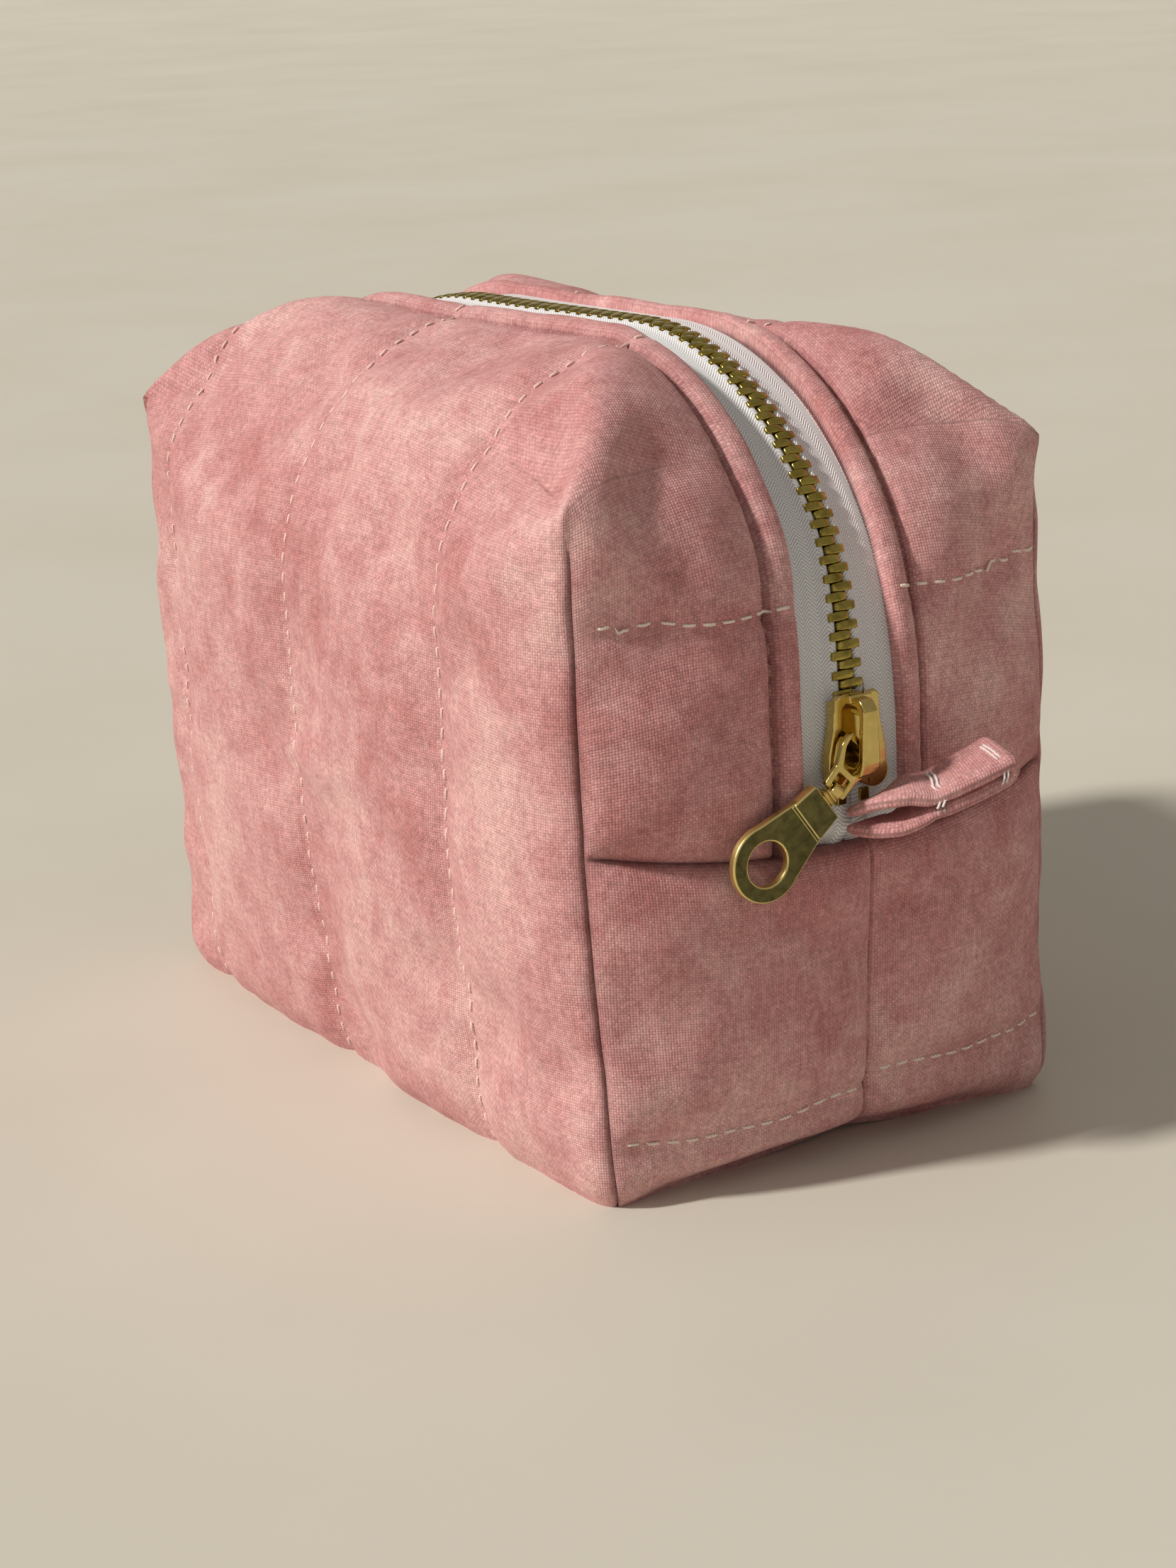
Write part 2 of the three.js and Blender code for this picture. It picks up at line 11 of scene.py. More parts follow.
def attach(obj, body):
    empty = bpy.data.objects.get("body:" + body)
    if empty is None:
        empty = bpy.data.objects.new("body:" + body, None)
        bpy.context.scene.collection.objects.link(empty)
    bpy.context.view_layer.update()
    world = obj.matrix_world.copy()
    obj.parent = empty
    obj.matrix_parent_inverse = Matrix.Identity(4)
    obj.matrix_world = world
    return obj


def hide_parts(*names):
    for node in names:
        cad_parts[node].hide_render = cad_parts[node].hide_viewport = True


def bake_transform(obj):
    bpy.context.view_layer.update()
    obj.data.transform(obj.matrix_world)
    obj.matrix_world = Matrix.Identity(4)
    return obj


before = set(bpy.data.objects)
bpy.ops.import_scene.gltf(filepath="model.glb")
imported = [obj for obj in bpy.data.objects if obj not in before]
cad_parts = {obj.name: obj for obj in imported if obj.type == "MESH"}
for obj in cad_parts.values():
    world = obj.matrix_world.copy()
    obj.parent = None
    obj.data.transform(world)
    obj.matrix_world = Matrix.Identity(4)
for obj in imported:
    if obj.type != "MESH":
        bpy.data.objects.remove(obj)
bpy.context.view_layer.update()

MM = 0.001
TAU = 2 * math.pi

# Shape of the bag, as in the solids
HALF_LENGTH = 75.0
HALF_WIDTH = 43.0
EAR_HEIGHT = 110.0
CREST_HEIGHT = 127.7
SEAM_HEIGHT = 58.0
END_BULGE = 8.2
FRONT_BULGE = 4.0
FOOT_FLARE = 3.0
FOOT_TUCK = 1.5
ZIP_BEND = 58.7
SHOULDER = 43.0
BOTTOM_SEAM_Y = 3.5
FABRIC_EDGE = 9.0
STITCH_RUN = 13.5
STITCH_PITCH = 3.2
QUILT_X = (41.0, -10.0, -60.0)
TOOTH_PITCH = 2.9

BAG_MIDDLE = np.array([0, 0, 55.0])

SIDES = {"front": -1, "back": 1}


def smooth(share):
    share = np.clip(share, 0, 1)
    return share * share * (3 - 2 * share)


def outline(across):
    """Half length, top and bend radius of the bag's side view, at a share of the way out."""
    half = HALF_LENGTH + END_BULGE * (1 - across**2)
    top = CREST_HEIGHT - (CREST_HEIGHT - EAR_HEIGHT) * across**2
    bend = np.maximum(ZIP_BEND * (1 - across**1.6), 0)
    return half, top, bend


def rise(across, x, half):
    return (CREST_HEIGHT - EAR_HEIGHT) * across**2 * (1 - np.abs(x / half) ** 2.5)


def bend_point(across, turn):
    """Point of the end's bend, where turn goes from 0 on the end to a right angle on top."""
    half, top, bend = outline(across)
    x = half - bend * (1 - np.cos(turn))
    return x, top - bend * (1 - np.sin(turn)) + rise(across, x, half)


def upper_end(across, run):
    """Point of an end above its seam, a run of millimetres up from it."""
    half, top, bend = outline(across)
    straight = top - bend - SEAM_HEIGHT
    turn = np.maximum(run - straight, 0) / np.maximum(bend, 1e-6)
    x, z = bend_point(across, turn)
    low = run <= straight
    return np.where(low, half, x), np.where(low, SEAM_HEIGHT + run, z)


def upper_end_length(across):
    _, top, bend = outline(across)
    return top - bend - SEAM_HEIGHT + bend * math.pi / 4


def over_top(across, along):
    half, top, bend = outline(across)
    arc = bend * math.pi / 4
    run = (1 - along) * (arc + half - bend)
    turn = math.pi / 4 + run / np.maximum(bend, 1e-6)
    x, z = bend_point(across, np.minimum(turn, math.pi / 2))
    flat = run >= arc
    x_flat = half - bend - (run - arc)
    return np.where(flat, x_flat, x), np.where(flat, top + rise(across, x_flat, half), z)


def lower_end(across, z):
    bulge = END_BULGE * (1 - across**2) * (z / SEAM_HEIGHT) ** 0.7
    return HALF_LENGTH + bulge + FOOT_FLARE * (1 - z / SEAM_HEIGHT) ** 2


def shoulder(along):
    return np.maximum(SHOULDER * (1 - along**3), 0)


def half_width(along, z):
    share = np.minimum(z / SEAM_HEIGHT, 1)
    bulge = FRONT_BULGE * (1 - along**2) * np.sin(share * math.pi / 2)
    return HALF_WIDTH + bulge - FOOT_TUCK * (1 - share)


# Lattice levels
CLOSE = np.array([0, 0.3, 0.6, 1.0, 1.5, 2.2, 3.1, 4.2])  # distances from a seam
EDGE_LEVELS = np.array([9, 9.12, 9.35, 9.7, 10.1, 10.7, 11.4, 12.1, 12.6, 13, 13.25, 13.5, 13.75,
                        14, 14.4, 15])  # distances from the zip's middle
FOOT_LEVELS = np.array([0, 0.5, 1.2, 2.2, 3.4, 5])
CLOTH_PITCH = 5.0  # from this pitch on, the lattice has no extra levels at its seams


def near_seam(pitch, levels=CLOSE):
    return levels if pitch < CLOTH_PITCH else levels[[0, -1]]


def stretch(first, last, pitch):
    """Even levels from first to last, both left out."""
    n = max(int(round((last - first) / pitch)), 1)
    return first + (last - first) * np.arange(1, n) / n


def columns(total, start, pitch):
    """Distances from the zip's middle, from start to total: close at the folded edge, the
    topstitching and the corner seam."""
    near = near_seam(pitch, EDGE_LEVELS)
    seam = np.empty(0)
    if start < FABRIC_EDGE:
        first = near_seam(pitch, CLOSE[:5])
        seam = np.concatenate([start + first, stretch(start + first[-1], FABRIC_EDGE, pitch)])
    count = int(round((HALF_WIDTH - 15 - 4.2) / pitch))
    middle = 15 + (total - CLOSE[-1] - 15) * np.arange(1, count) / count
    return np.concatenate([seam, near, middle, total - near_seam(pitch)[::-1]])


def lower_rows(pitch):
    return np.concatenate([near_seam(pitch, FOOT_LEVELS), stretch(5, SEAM_HEIGHT - 4.2, pitch),
                           SEAM_HEIGHT - near_seam(pitch)[::-1]])


def upper_runs(total, pitch):
    count = int(round((EAR_HEIGHT - SEAM_HEIGHT - 8.4) / pitch))
    even = CLOSE[-1] + (total - 2 * CLOSE[-1]) * np.arange(1, count) / count
    return np.concatenate([near_seam(pitch), even, total - near_seam(pitch)[::-1]])


def lengthwise(pitch):
    near = 1 - near_seam(pitch) / HALF_LENGTH
    even = stretch(-near[-1], near[-1], pitch / HALF_LENGTH)
    return np.concatenate([-near, even, near[::-1]])


# Panels
END_UPPER, END_LOWER, LONG, TOP, BOTTOM = range(5)


FAR = 1e3  # "no such seam near"
END_YARNS = 66  # the yarns' count of millimetres where the top turns into an end
SEAM_FACTS = ("run", "corner", "end", "foot", "ear")


class Patch:
    """A grid of points with the facts that the seams, the quilting and the weave need. A seam
    that isn't told is far away."""

    def __init__(self, zone, x, y, z, **facts):
        shape = np.broadcast_shapes(np.shape(x), np.shape(y), np.shape(z))
        wide = lambda a: np.broadcast_to(np.asarray(a, float), shape)
        self.zone, self.shape = zone, shape
        self.points = np.stack([wide(x), wide(y), wide(z)], axis=-1)
        self.facts = {name: wide(facts.get(name, FAR)) for name in (*SEAM_FACTS, "u", "v")}


def panel_patches(side, pitch):
    """Half the bag's skin, from the folded edge by the zip out, down and under to the bottom
    seam. run is the distance across the cloth from the zip, corner, end and foot are the
    distances to seams, ear is the one to a top corner, and u and v follow the yarns."""
    seam = side * BOTTOM_SEAM_Y + 0.05
    a = lengthwise(pitch)
    along = np.abs(a)
    patches = []
    # long side and top
    roll = shoulder(along)
    arc = roll * math.pi / 4
    width = half_width(along, SEAM_HEIGHT)
    total = width - roll + arc
    x_top, z_top = over_top(1.0, along)
    rows = lower_rows(pitch)[:, None]
    w = half_width(along, rows)
    x = a * lower_end(1.0, rows)
    ends = HALF_LENGTH * (1 - along)
    drop = z_top - roll - SEAM_HEIGHT + arc  # cloth from the end seams' height to the shoulder
    patches.append(Patch(LONG, x, side * w, rows, corner=ends,
                         u=x, v=total + drop + SEAM_HEIGHT - rows))
    runs = np.stack([upper_runs(d, pitch) for d in drop], axis=1)
    straight = z_top - roll - SEAM_HEIGHT
    turn = np.maximum(runs - straight, 0) / np.maximum(roll, 1e-6)
    z = np.where(runs > straight, z_top - roll * (1 - np.sin(turn)), SEAM_HEIGHT + runs)
    y = width - roll * (1 - np.cos(turn))
    x = np.sign(a) * x_top
    patches.append(Patch(LONG, x, side * y, z, corner=ends, u=x, v=total + drop - runs))
    runs = np.stack([columns(t, FABRIC_EDGE, pitch) for t in total], axis=1)
    turn = np.maximum(runs - (width - roll), 0) / np.maximum(roll, 1e-6)
    y = np.where(turn > 0, width - roll + roll * np.sin(turn), runs)
    x, z = over_top(runs / total, along)
    z = z - roll * (1 - np.cos(turn))
    tip = np.hypot(total - runs, ends)
    x = np.sign(a) * x
    patches.append(Patch(TOP, x, side * y, z, run=runs, corner=tip, ear=tip, u=x, v=runs))
    # bottom
    w = half_width(along, 0.0)
    runs = np.stack([columns(t, seam, pitch) for t in w], axis=1)
    x = a * lower_end(runs / w, 0.0)
    patches.append(Patch(BOTTOM, x, side * runs, 0.0, foot=runs - seam, u=x, v=runs))
    # ends
    width = HALF_WIDTH
    for way in (-1, 1):
        runs = columns(width, FABRIC_EDGE, pitch)[:, None]
        across = runs / width
        lift = np.stack([upper_runs(t, pitch) for t in upper_end_length(across[:, 0])])
        x, z = upper_end(across, lift)
        left = lift[:, -1:] - lift
        patches.append(Patch(END_UPPER, way * x, side * runs, z, run=runs, corner=width - runs,
                             end=lift, ear=np.hypot(width - runs, left),
                             u=way * (END_YARNS + left), v=runs))
        rows = lower_rows(pitch)
        w = half_width(1.0, rows)
        y = np.stack([columns(t, seam, pitch) for t in w], axis=1)
        x = lower_end(np.abs(y) / w, rows)
        patches.append(Patch(END_LOWER, way * x, side * y, rows, corner=w - y,
                             end=SEAM_HEIGHT - rows, foot=y - seam, u=rows, v=y))
    return patches


def weld(patches):
    """Joins the patches into one mesh: points, quads facing out and the facts per point."""
    points = np.concatenate([p.points.reshape(-1, 3) for p in patches])
    facts = {n: np.concatenate([p.facts[n].ravel() for p in patches]) for n in patches[0].facts}
    facts["zone"] = np.concatenate([np.full(p.points[..., 0].size, p.zone) for p in patches])
    quads, first = [], 0
    for p in patches:
        rows, cols = p.shape
        index = first + np.arange(rows * cols).reshape(rows, cols)
        quad = np.stack([index[:-1, :-1], index[1:, :-1], index[1:, 1:], index[:-1, 1:]], axis=-1)
        quads.append(quad.reshape(-1, 4))
        first += rows * cols
    key = np.round(points, 3)
    _, keep, same = np.unique(key, axis=0, return_index=True, return_inverse=True)
    same = same.ravel()
    faces = []
    for quad in quads:
        p = points[quad]
        normal = np.cross(p[:, 2] - p[:, 0], p[:, 3] - p[:, 1])
        out = p.mean(axis=1) - BAG_MIDDLE
        turned = (normal * out).sum(axis=1).sum() < 0
        faces.append(quad[:, ::-1] if turned else quad)
    quads = same[np.concatenate(faces)]
    for name in SEAM_FACTS:
        lowest = np.full(len(keep), np.inf)
        np.minimum.at(lowest, same, facts[name])
        facts[name] = lowest
    for name in ("zone", "u", "v"):
        facts[name] = facts[name][keep]
    return points[keep], quads, facts


def normals_of(points, quads):
    p = points[quads]
    face = np.cross(p[:, 2] - p[:, 0], p[:, 3] - p[:, 1])
    total = np.zeros_like(points)
    for n in range(4):
        np.add.at(total, quads[:, n], face)
    return total / np.maximum(np.linalg.norm(total, axis=1, keepdims=True), 1e-9)


def dent(distance, depth, width):
    """Depth of a rolled-in seam: steep at the seam, flat at width."""
    share = np.clip(distance / width, 0, 1)
    return depth * (1 - np.sqrt(np.maximum(1 - (1 - share) ** 2, 0)))


def bell(distance, width):
    return np.exp(-((distance / width) ** 2))


def groove(distance, depth, width):
    return depth * bell(distance, width)


def wave(points, scale, seed, stretch_by=(1, 1, 1)):
    """Smooth noise from -1 to 1 at each point."""
    q = points / scale / np.array(stretch_by) + seed * 17.3
    return np.array([noise.noise(Vector(v)) for v in q])


END_LINES = {  # heights of the quilting lines, by side and end
    (-1, 1): (92.0, 13.0),
    (1, 1): (92.0, 16.0),
    (-1, -1): (75.0, 35.0),
    (1, -1): (75.0, 35.0),
}
LINE_SAG = 1.2


def line_height(height, y):
    """An end's quilting line sags a little between the corner and the zip."""
    return height - LINE_SAG * np.sin(np.clip(np.abs(y) / HALF_WIDTH, 0, 1) * math.pi)


def is_end(facts):
    return (facts["zone"] == END_UPPER) | (facts["zone"] == END_LOWER)


def quilt_lines(points, facts, side):
    """Distance to the nearest quilting line, and the distance along that line."""
    x, y, z = points.T
    ends = is_end(facts)
    best = np.full(len(points), FAR)
    along = np.zeros(len(points))
    for line in QUILT_X:
        d = np.where(ends, FAR, np.abs(x - line))
        along = np.where(d < best, facts["v"], along)
        best = np.minimum(best, d)
    for way in (-1, 1):
        for height in END_LINES[side, way]:
            d = np.where(ends & (x * way > 0), np.abs(z - line_height(height, y)), FAR)
            along = np.where(d < best, np.abs(y), along)
            best = np.minimum(best, d)
    return best, along


def inward_at_seams(points, normals, facts):
    """Near a corner seam both cloths move along the corner's diagonal, so that they meet."""
    x, y, _ = points.T
    ear = bell(facts["ear"], 3.5)
    diagonal = np.stack([np.sign(x), np.sign(y), ear], axis=1)
    diagonal /= np.linalg.norm(diagonal, axis=1, keepdims=True)
    share = bell(facts["corner"], 2.6)[:, None]
    turned = normals * (1 - share) + diagonal * share
    return turned / np.linalg.norm(turned, axis=1, keepdims=True)


# Depths and widths of what is pressed into the skin
PUFF, PUFF_REACH, QUILT_PUFF, QUILT_REACH = 1.3, 7, 0.3, 6
CORNER_DENT, CORNER_SLOPE = (1.7, 3.4), (0.6, 6)
END_DENT, END_SLOPE = (1.5, 2.8), (0.5, 6)
FOOT_DENT = (0.9, 2.0)
EDGE_DENT = (1.1, 1.1)
STITCH_DEPTH, STITCH_PUCKER, STITCH_WIDTH = 1.3, 0.25, 0.7
QUILT_DEPTH, QUILT_PUCKER, QUILT_WIDTH = 0.45, 0.15, 0.8
QUILT_SLOPE = (0.35, 3.5)
STRIP_PUFF = 0.65


def sculpt(points, quads, facts, side, depths):
    """Presses the seams, stitching and wrinkles into the skin, and fills the padding out. Gives
    one skin for each depth under the outside."""
    drape = draped(points, side)
    run, corner, end, foot = (facts[n] for n in ("run", "corner", "end", "foot"))
    normals = inward_at_seams(points, normals_of(points, quads), facts)
    quilt, along = quilt_lines(points, facts, side)
    stitch = np.abs(run - STITCH_RUN)
    seam = np.minimum(np.minimum(corner, end), foot)
    off_corner = 1 - bell(corner, 2.2)
    off_ear = 1 - 0.7 * bell(facts["ear"], 5)
    move = PUFF * (1 - np.exp(-np.minimum(seam, stitch) / PUFF_REACH))
    move += QUILT_PUFF * (1 - off_corner * np.exp(-quilt / QUILT_REACH))
    move -= off_ear * (dent(corner, *CORNER_DENT) + groove(corner, *CORNER_SLOPE))
    move -= np.where(is_end(facts), off_corner * (dent(end, *END_DENT) + groove(end, *END_SLOPE)), 0)
    move -= dent(foot, *FOOT_DENT)
    pucker = STITCH_PUCKER * np.cos(TAU * facts["u"] / STITCH_PITCH)
    move -= groove(stitch, STITCH_DEPTH + pucker, STITCH_WIDTH)
    pucker = QUILT_PUCKER * (0.5 - 0.5 * np.cos(TAU * along / STITCH_PITCH))
    calm = off_corner * np.where(run < STITCH_RUN, 0.25, 1.0)
    move -= calm * (groove(quilt, QUILT_DEPTH + pucker, QUILT_WIDTH) + groove(quilt, *QUILT_SLOPE))
    strip = np.clip((STITCH_RUN - run) / (STITCH_RUN - FABRIC_EDGE), 0, 1)
    move += STRIP_PUFF * np.sin(strip * math.pi) ** 0.7
    move -= np.where(run < 30, dent(run - FABRIC_EDGE, *EDGE_DENT), 0)
    # wrinkles: wide ones all over, then at the seams, the topstitching and the quilting
    fade = 1 - np.exp(-seam / 5)
    move += 0.3 * fade * wave(points, 22, 3 + side) + 0.2 * fade * wave(points, 9, 5 + side)
    near = np.exp(-seam / 4.5) * (1 - bell(seam, 1.6))
    move += 0.35 * near * wave(points, 5.0, 7 + side, (1, 1, 1.6))
    move += 0.12 * bell(stitch - 1.2, 1.3) * wave(points, 1.9, 9 + side)
    move += 0.25 * off_corner * bell(quilt - 2, 2.2) * wave(points, 4.5, 11 + side)
    move -= hollows(points, facts)
    return [sway(settle(points + normals * (move - depth)[:, None] + drape, depth))
            for depth in depths]


SEAM_SAG = 4.4  # the end seams hang lower in the middle


HOLLOW_Y = 30.0


def hollows(points, facts):
    """Soft hollows between each ear and the zip's bulge, deepest on the end."""
    x, y, z = points.T
    zone = facts["zone"]
    off = np.abs(y) - HOLLOW_Y
    upper = ((zone == TOP) | (zone == END_UPPER)) * smooth((np.abs(x) - 50) / 15)
    on_end = 3.2 * bell(off, 7.5) * bell(z - 95, 14)
    on_top = 1.2 * bell(off, 8) * bell(z - 112, 9)
    return upper * (on_end + on_top)


FOOT_LIFT, FOOT_PULL = 3.6, 4.5  # of the middle of each end's lower edge: up, and inwards
FOOT_ROUND_X, FOOT_ROUND_Y = 3.6, 1.6  # inward at the foot's corners
FLOOR_GAP = 0.15


def settle(points, depth):
    """Rounds the foot, lifts the middle of each end's lower edge and rests the rest flat."""
    x, y, z = points.T.copy()
    near = bell(z - 0.5, 4.0)
    across = np.clip(np.abs(y) / 41.0, 0, 1)
    end_share = np.clip((np.abs(x) - 52) / 22, 0, 1) ** 2
    middle = (1 - across**2) * end_share
    x = x - np.sign(x) * near * (FOOT_ROUND_X * (np.abs(x) / 78) ** 8 + FOOT_PULL * middle)
    y = y - np.sign(y) * near * FOOT_ROUND_Y * across**8
    z = z + FOOT_LIFT * middle * np.exp(-z / 9)
    on_end = np.clip((np.abs(x) - 64) / 9, 0, 1)
    z = z - SEAM_SAG * bell(z - SEAM_HEIGHT, 22) * on_end * (1 - across**2)
    low = 0.35 * (np.exp(-z / 2.0) - 1)
    z = np.maximum(z + low, FLOOR_GAP + depth)
    return np.stack([x, y, z], axis=1)


SWAY, SWAY_WIDTH, SWAY_MIDDLE = 3.6, 14.0, -6.0
BEND_X = HALF_LENGTH + END_BULGE - ZIP_BEND
BEND_Z = CREST_HEIGHT - ZIP_BEND
BEND_RUN = ZIP_BEND * math.pi / 2
ZIP_LENGTH = 2 * (BEND_RUN + BEND_X)  # between the two bends' lower ends


def sway(points):
    """The zip wanders towards the back panel on its way over the near end."""
    x, y, z = np.asarray(points, float).T.copy()
    turn = np.clip(np.arctan2(z - BEND_Z, np.maximum(x - BEND_X, 1e-6)), 0, math.pi / 2)
    run = np.where(x > BEND_X, ZIP_BEND * turn, BEND_RUN + BEND_X - x)
    along = smooth((run - 4) / 34) * (1 - smooth((run - 84) / 52))
    y = y + SWAY * along * bell(y - SWAY_MIDDLE, SWAY_WIDTH) * smooth((z - 62) / 12)
    return np.stack([x, y, z], axis=1)


def linked(name, data):
    obj = bpy.data.objects.new(name, data)
    bpy.context.scene.collection.objects.link(obj)
    return obj


def face_out(obj):
    """Turns all faces of a closed mesh outwards."""
    b = bmesh.new()
    b.from_mesh(obj.data)
    bmesh.ops.recalc_face_normals(b, faces=b.faces)
    b.to_mesh(obj.data)
    b.free()


def make_mesh(name, points, faces, attributes=None):
    """A mesh object in metres from points in millimetres."""
    mesh = bpy.data.meshes.new(name)
    mesh.from_pydata((np.asarray(points) * MM).tolist(), [], [list(map(int, f)) for f in faces])
    for key, value in (attributes or {}).items():
        kind = "FLOAT_VECTOR" if np.ndim(value) == 2 else "FLOAT"
        layer = mesh.attributes.new(key, kind, "POINT")
        layer.data.foreach_set("vector" if kind == "FLOAT_VECTOR" else "value",
                               np.asarray(value, np.float32).ravel())
    mesh.validate()
    mesh.shade_smooth()
    return linked(name, mesh)


def apply_modifiers(obj):
    """Replaces the object's mesh with what its modifiers make."""
    graph = bpy.context.evaluated_depsgraph_get()
    graph.update()
    mesh = bpy.data.meshes.new_from_object(obj.evaluated_get(graph), preserve_all_data_layers=True,
                                           depsgraph=graph)
    obj.modifiers.clear()
    obj.data = mesh


def two_skins(name, outer, inner, quads, attributes):
    """A closed cloth between two skins of the same lattice, joined round its open edges."""
    edges = {}  # a dict, so that the rim keeps its order
    for quad in quads.tolist():
        for edge in zip(quad, quad[1:] + quad[:1]):
            edges[edge] = True
    size = len(outer)
    rim = [[b, a, a + size, b + size] for a, b in edges if (b, a) not in edges]
    faces = quads.tolist() + (quads[:, ::-1] + size).tolist() + rim
    both = {key: np.concatenate([value, value]) for key, value in attributes.items()}
    both["place"] = np.concatenate([outer, inner])
    return make_mesh(name, both["place"], faces, both)


# Cloth simulation
CLOTH_FRAMES, CLOTH_CAP, CLOTH_PRESSURE, CLOTH_SHRINK = 20, 2.4, 4, -0.035
DRAPES = {}


def evaluated_points(obj):
    graph = bpy.context.evaluated_depsgraph_get()
    mesh = obj.evaluated_get(graph).to_mesh()
    points = np.empty(len(mesh.vertices) * 3, np.float32)
    mesh.vertices.foreach_get("co", points)
    faces = [list(p.vertices) for p in mesh.polygons]
    obj.evaluated_get(graph).to_mesh_clear()
    return points.reshape(-1, 3).astype(float) / MM, faces


def simulate_drape(side):
    """How far a panel's skin moves when slack cotton, held at its seams and stitching, is blown
    out by its wadding. The cloth is simulated on a coarse lattice of the same panel."""
    coarse, quads, facts = weld(panel_patches(side, CLOTH_PITCH))
    obj = make_mesh("drape", coarse, quads)
    finer = obj.modifiers.new("finer", "SUBSURF")
    finer.levels = finer.render_levels = 2
    finer.boundary_smooth = "PRESERVE_CORNERS"
    before, faces = evaluated_points(obj)
    seam = np.minimum(facts["corner"], facts["foot"])
    seam = np.minimum(seam, np.where(is_end(facts), facts["end"], FAR))
    held = (seam < 0.5) | (facts["run"] < STITCH_RUN + 2) | (coarse[:, 2] < 1)
    quilt = quilt_lines(coarse, facts, side)[0]
    hold = np.where(held, 1.0, 0.85 * bell(quilt, 3.0))
    group = obj.vertex_groups.new(name="hold")
    for index, weight in enumerate(hold):
        group.add([index], float(weight), "REPLACE")
    cloth = obj.modifiers.new("cloth", "CLOTH")
    obj.modifiers.move(1, 0)  # before the subdivision
    values = cloth.settings
    values.quality, values.mass = 8, 0.25
    values.tension_stiffness = values.compression_stiffness = 12
    values.shear_stiffness, values.bending_stiffness = 4, 0.25
    values.air_damping = 3
    values.vertex_group_mass = "hold"
    values.pin_stiffness = 1
    values.shrink_min = values.shrink_max = CLOTH_SHRINK
    values.use_pressure = True
    values.uniform_pressure_force = CLOTH_PRESSURE
    values.effector_weights.gravity = 0
    cloth.collision_settings.use_collision = False
    cloth.point_cache.frame_end = CLOTH_FRAMES
    for number in range(1, CLOTH_FRAMES + 1):
        bpy.context.scene.frame_set(number)
    after, _ = evaluated_points(obj)
    bpy.data.objects.remove(obj)
    bpy.context.scene.frame_set(1)
    move = after - before
    size = np.linalg.norm(move, axis=1, keepdims=True)
    move *= CLOTH_CAP * np.tanh(size / CLOTH_CAP) / np.maximum(size, 1e-9)
    return before, faces, move


def draped(points, side):
    """The simulated movement at each point."""
    result = np.zeros_like(points)
    if side not in DRAPES:
        DRAPES[side] = simulate_drape(side)
    before, faces, move = DRAPES[side]
    tree = BVHTree.FromPolygons(before.tolist(), faces)
    for n, point in enumerate(points):
        hit, _, index, _ = tree.find_nearest(Vector(point))
        corners = faces[index]
        shares = poly_3d_calc([Vector(before[c]) for c in corners], hit)
        result[n] = sum(share * move[c] for share, c in zip(shares, corners))
    return result


# Materials
class Nodes:
    """A short way to write a material's nodes."""

    def __init__(self, name):
        self.material = bpy.data.materials.new(name)
        self.material.use_nodes = True
        self.tree = self.material.node_tree
        self.shader = self.tree.nodes["Principled BSDF"]

    def add(self, kind, inputs=None, **settings):
        node = self.tree.nodes.new("ShaderNode" + kind)
        for key, value in settings.items():
            setattr(node, key, value)
        for key, value in (inputs or {}).items():
            self.set(node.inputs[key], value)
        return node

    def set(self, socket, value):
        if isinstance(value, bpy.types.NodeSocket):
            self.tree.links.new(value, socket)
        else:
            socket.default_value = value

    def math(self, operation, a, b=0.0, clamp=False):
        node = self.add("Math", {0: a, 1: b}, operation=operation)
        node.use_clamp = clamp
        return node.outputs[0]

    def times(self, a, b):
        return self.math("MULTIPLY", a, b)

    def plus(self, a, b):
        return self.math("ADD", a, b)

    def attribute(self, name):
        return self.add("Attribute", attribute_name=name).outputs["Vector"]

    def scaled(self, vector, factors):
        return self.add("VectorMath", {0: vector, 1: factors}, operation="MULTIPLY").outputs[0]

    def noise(self, vector, scale, detail=3.0, rough=0.55, distort=0.0):
        inputs = {"Vector": vector, "Scale": scale, "Detail": detail, "Roughness": rough,
                  "Distortion": distort}
        return self.add("TexNoise", inputs).outputs["Fac"]

    def ramp(self, value, stops):
        node = self.add("ValToRGB", {"Fac": value})
        ramp = node.color_ramp
        while len(ramp.elements) < len(stops):
            ramp.elements.new(0.5)
        for element, (position, color) in zip(ramp.elements, stops):
            element.position = position
            element.color = (*color, 1) if np.ndim(color) else (color, color, color, 1)
        return node.outputs["Color"]

    def mix(self, factor, a, b, blend="MIX"):
        node = self.add("Mix", data_type="RGBA", blend_type=blend)
        self.set(node.inputs[0], factor)
        self.set(node.inputs[6], a if isinstance(a, bpy.types.NodeSocket) else (*a, 1))
        self.set(node.inputs[7], b if isinstance(b, bpy.types.NodeSocket) else (*b, 1))
        return node.outputs[2]

    def bump(self, height, strength, distance):
        inputs = {"Height": height, "Strength": strength, "Distance": distance}
        return self.add("Bump", inputs).outputs["Normal"]

    def finish(self, **sockets):
        for key, value in sockets.items():
            self.set(self.shader.inputs[key.replace("_", " ")], value)
        return self.material


def srgb(r, g, b):
    """Linear colour from 0 to 255 values."""
    lin = lambda c: c / 12.92 if c <= 0.04045 else ((c + 0.055) / 1.055) ** 2.4
    return tuple(lin(c / 255) for c in (r, g, b))


YARN_PITCH = 0.42


def yarns(n, cloth):
    """Plain weave from the cloth's own millimetres: 1 in the middle of each warp yarn that lies
    on top, -1 in the middle of each weft yarn, 0 in the gaps."""
    split = n.add("SeparateXYZ", {0: cloth})
    wobble = n.times(n.math("SUBTRACT", n.noise(cloth, 1.1, 2.0), 0.5), 1.6)
    u, v = (n.plus(n.times(split.outputs[axis], math.pi / YARN_PITCH), wobble) for axis in (0, 1))
    return n.times(n.math("SINE", u), n.math("SINE", v))


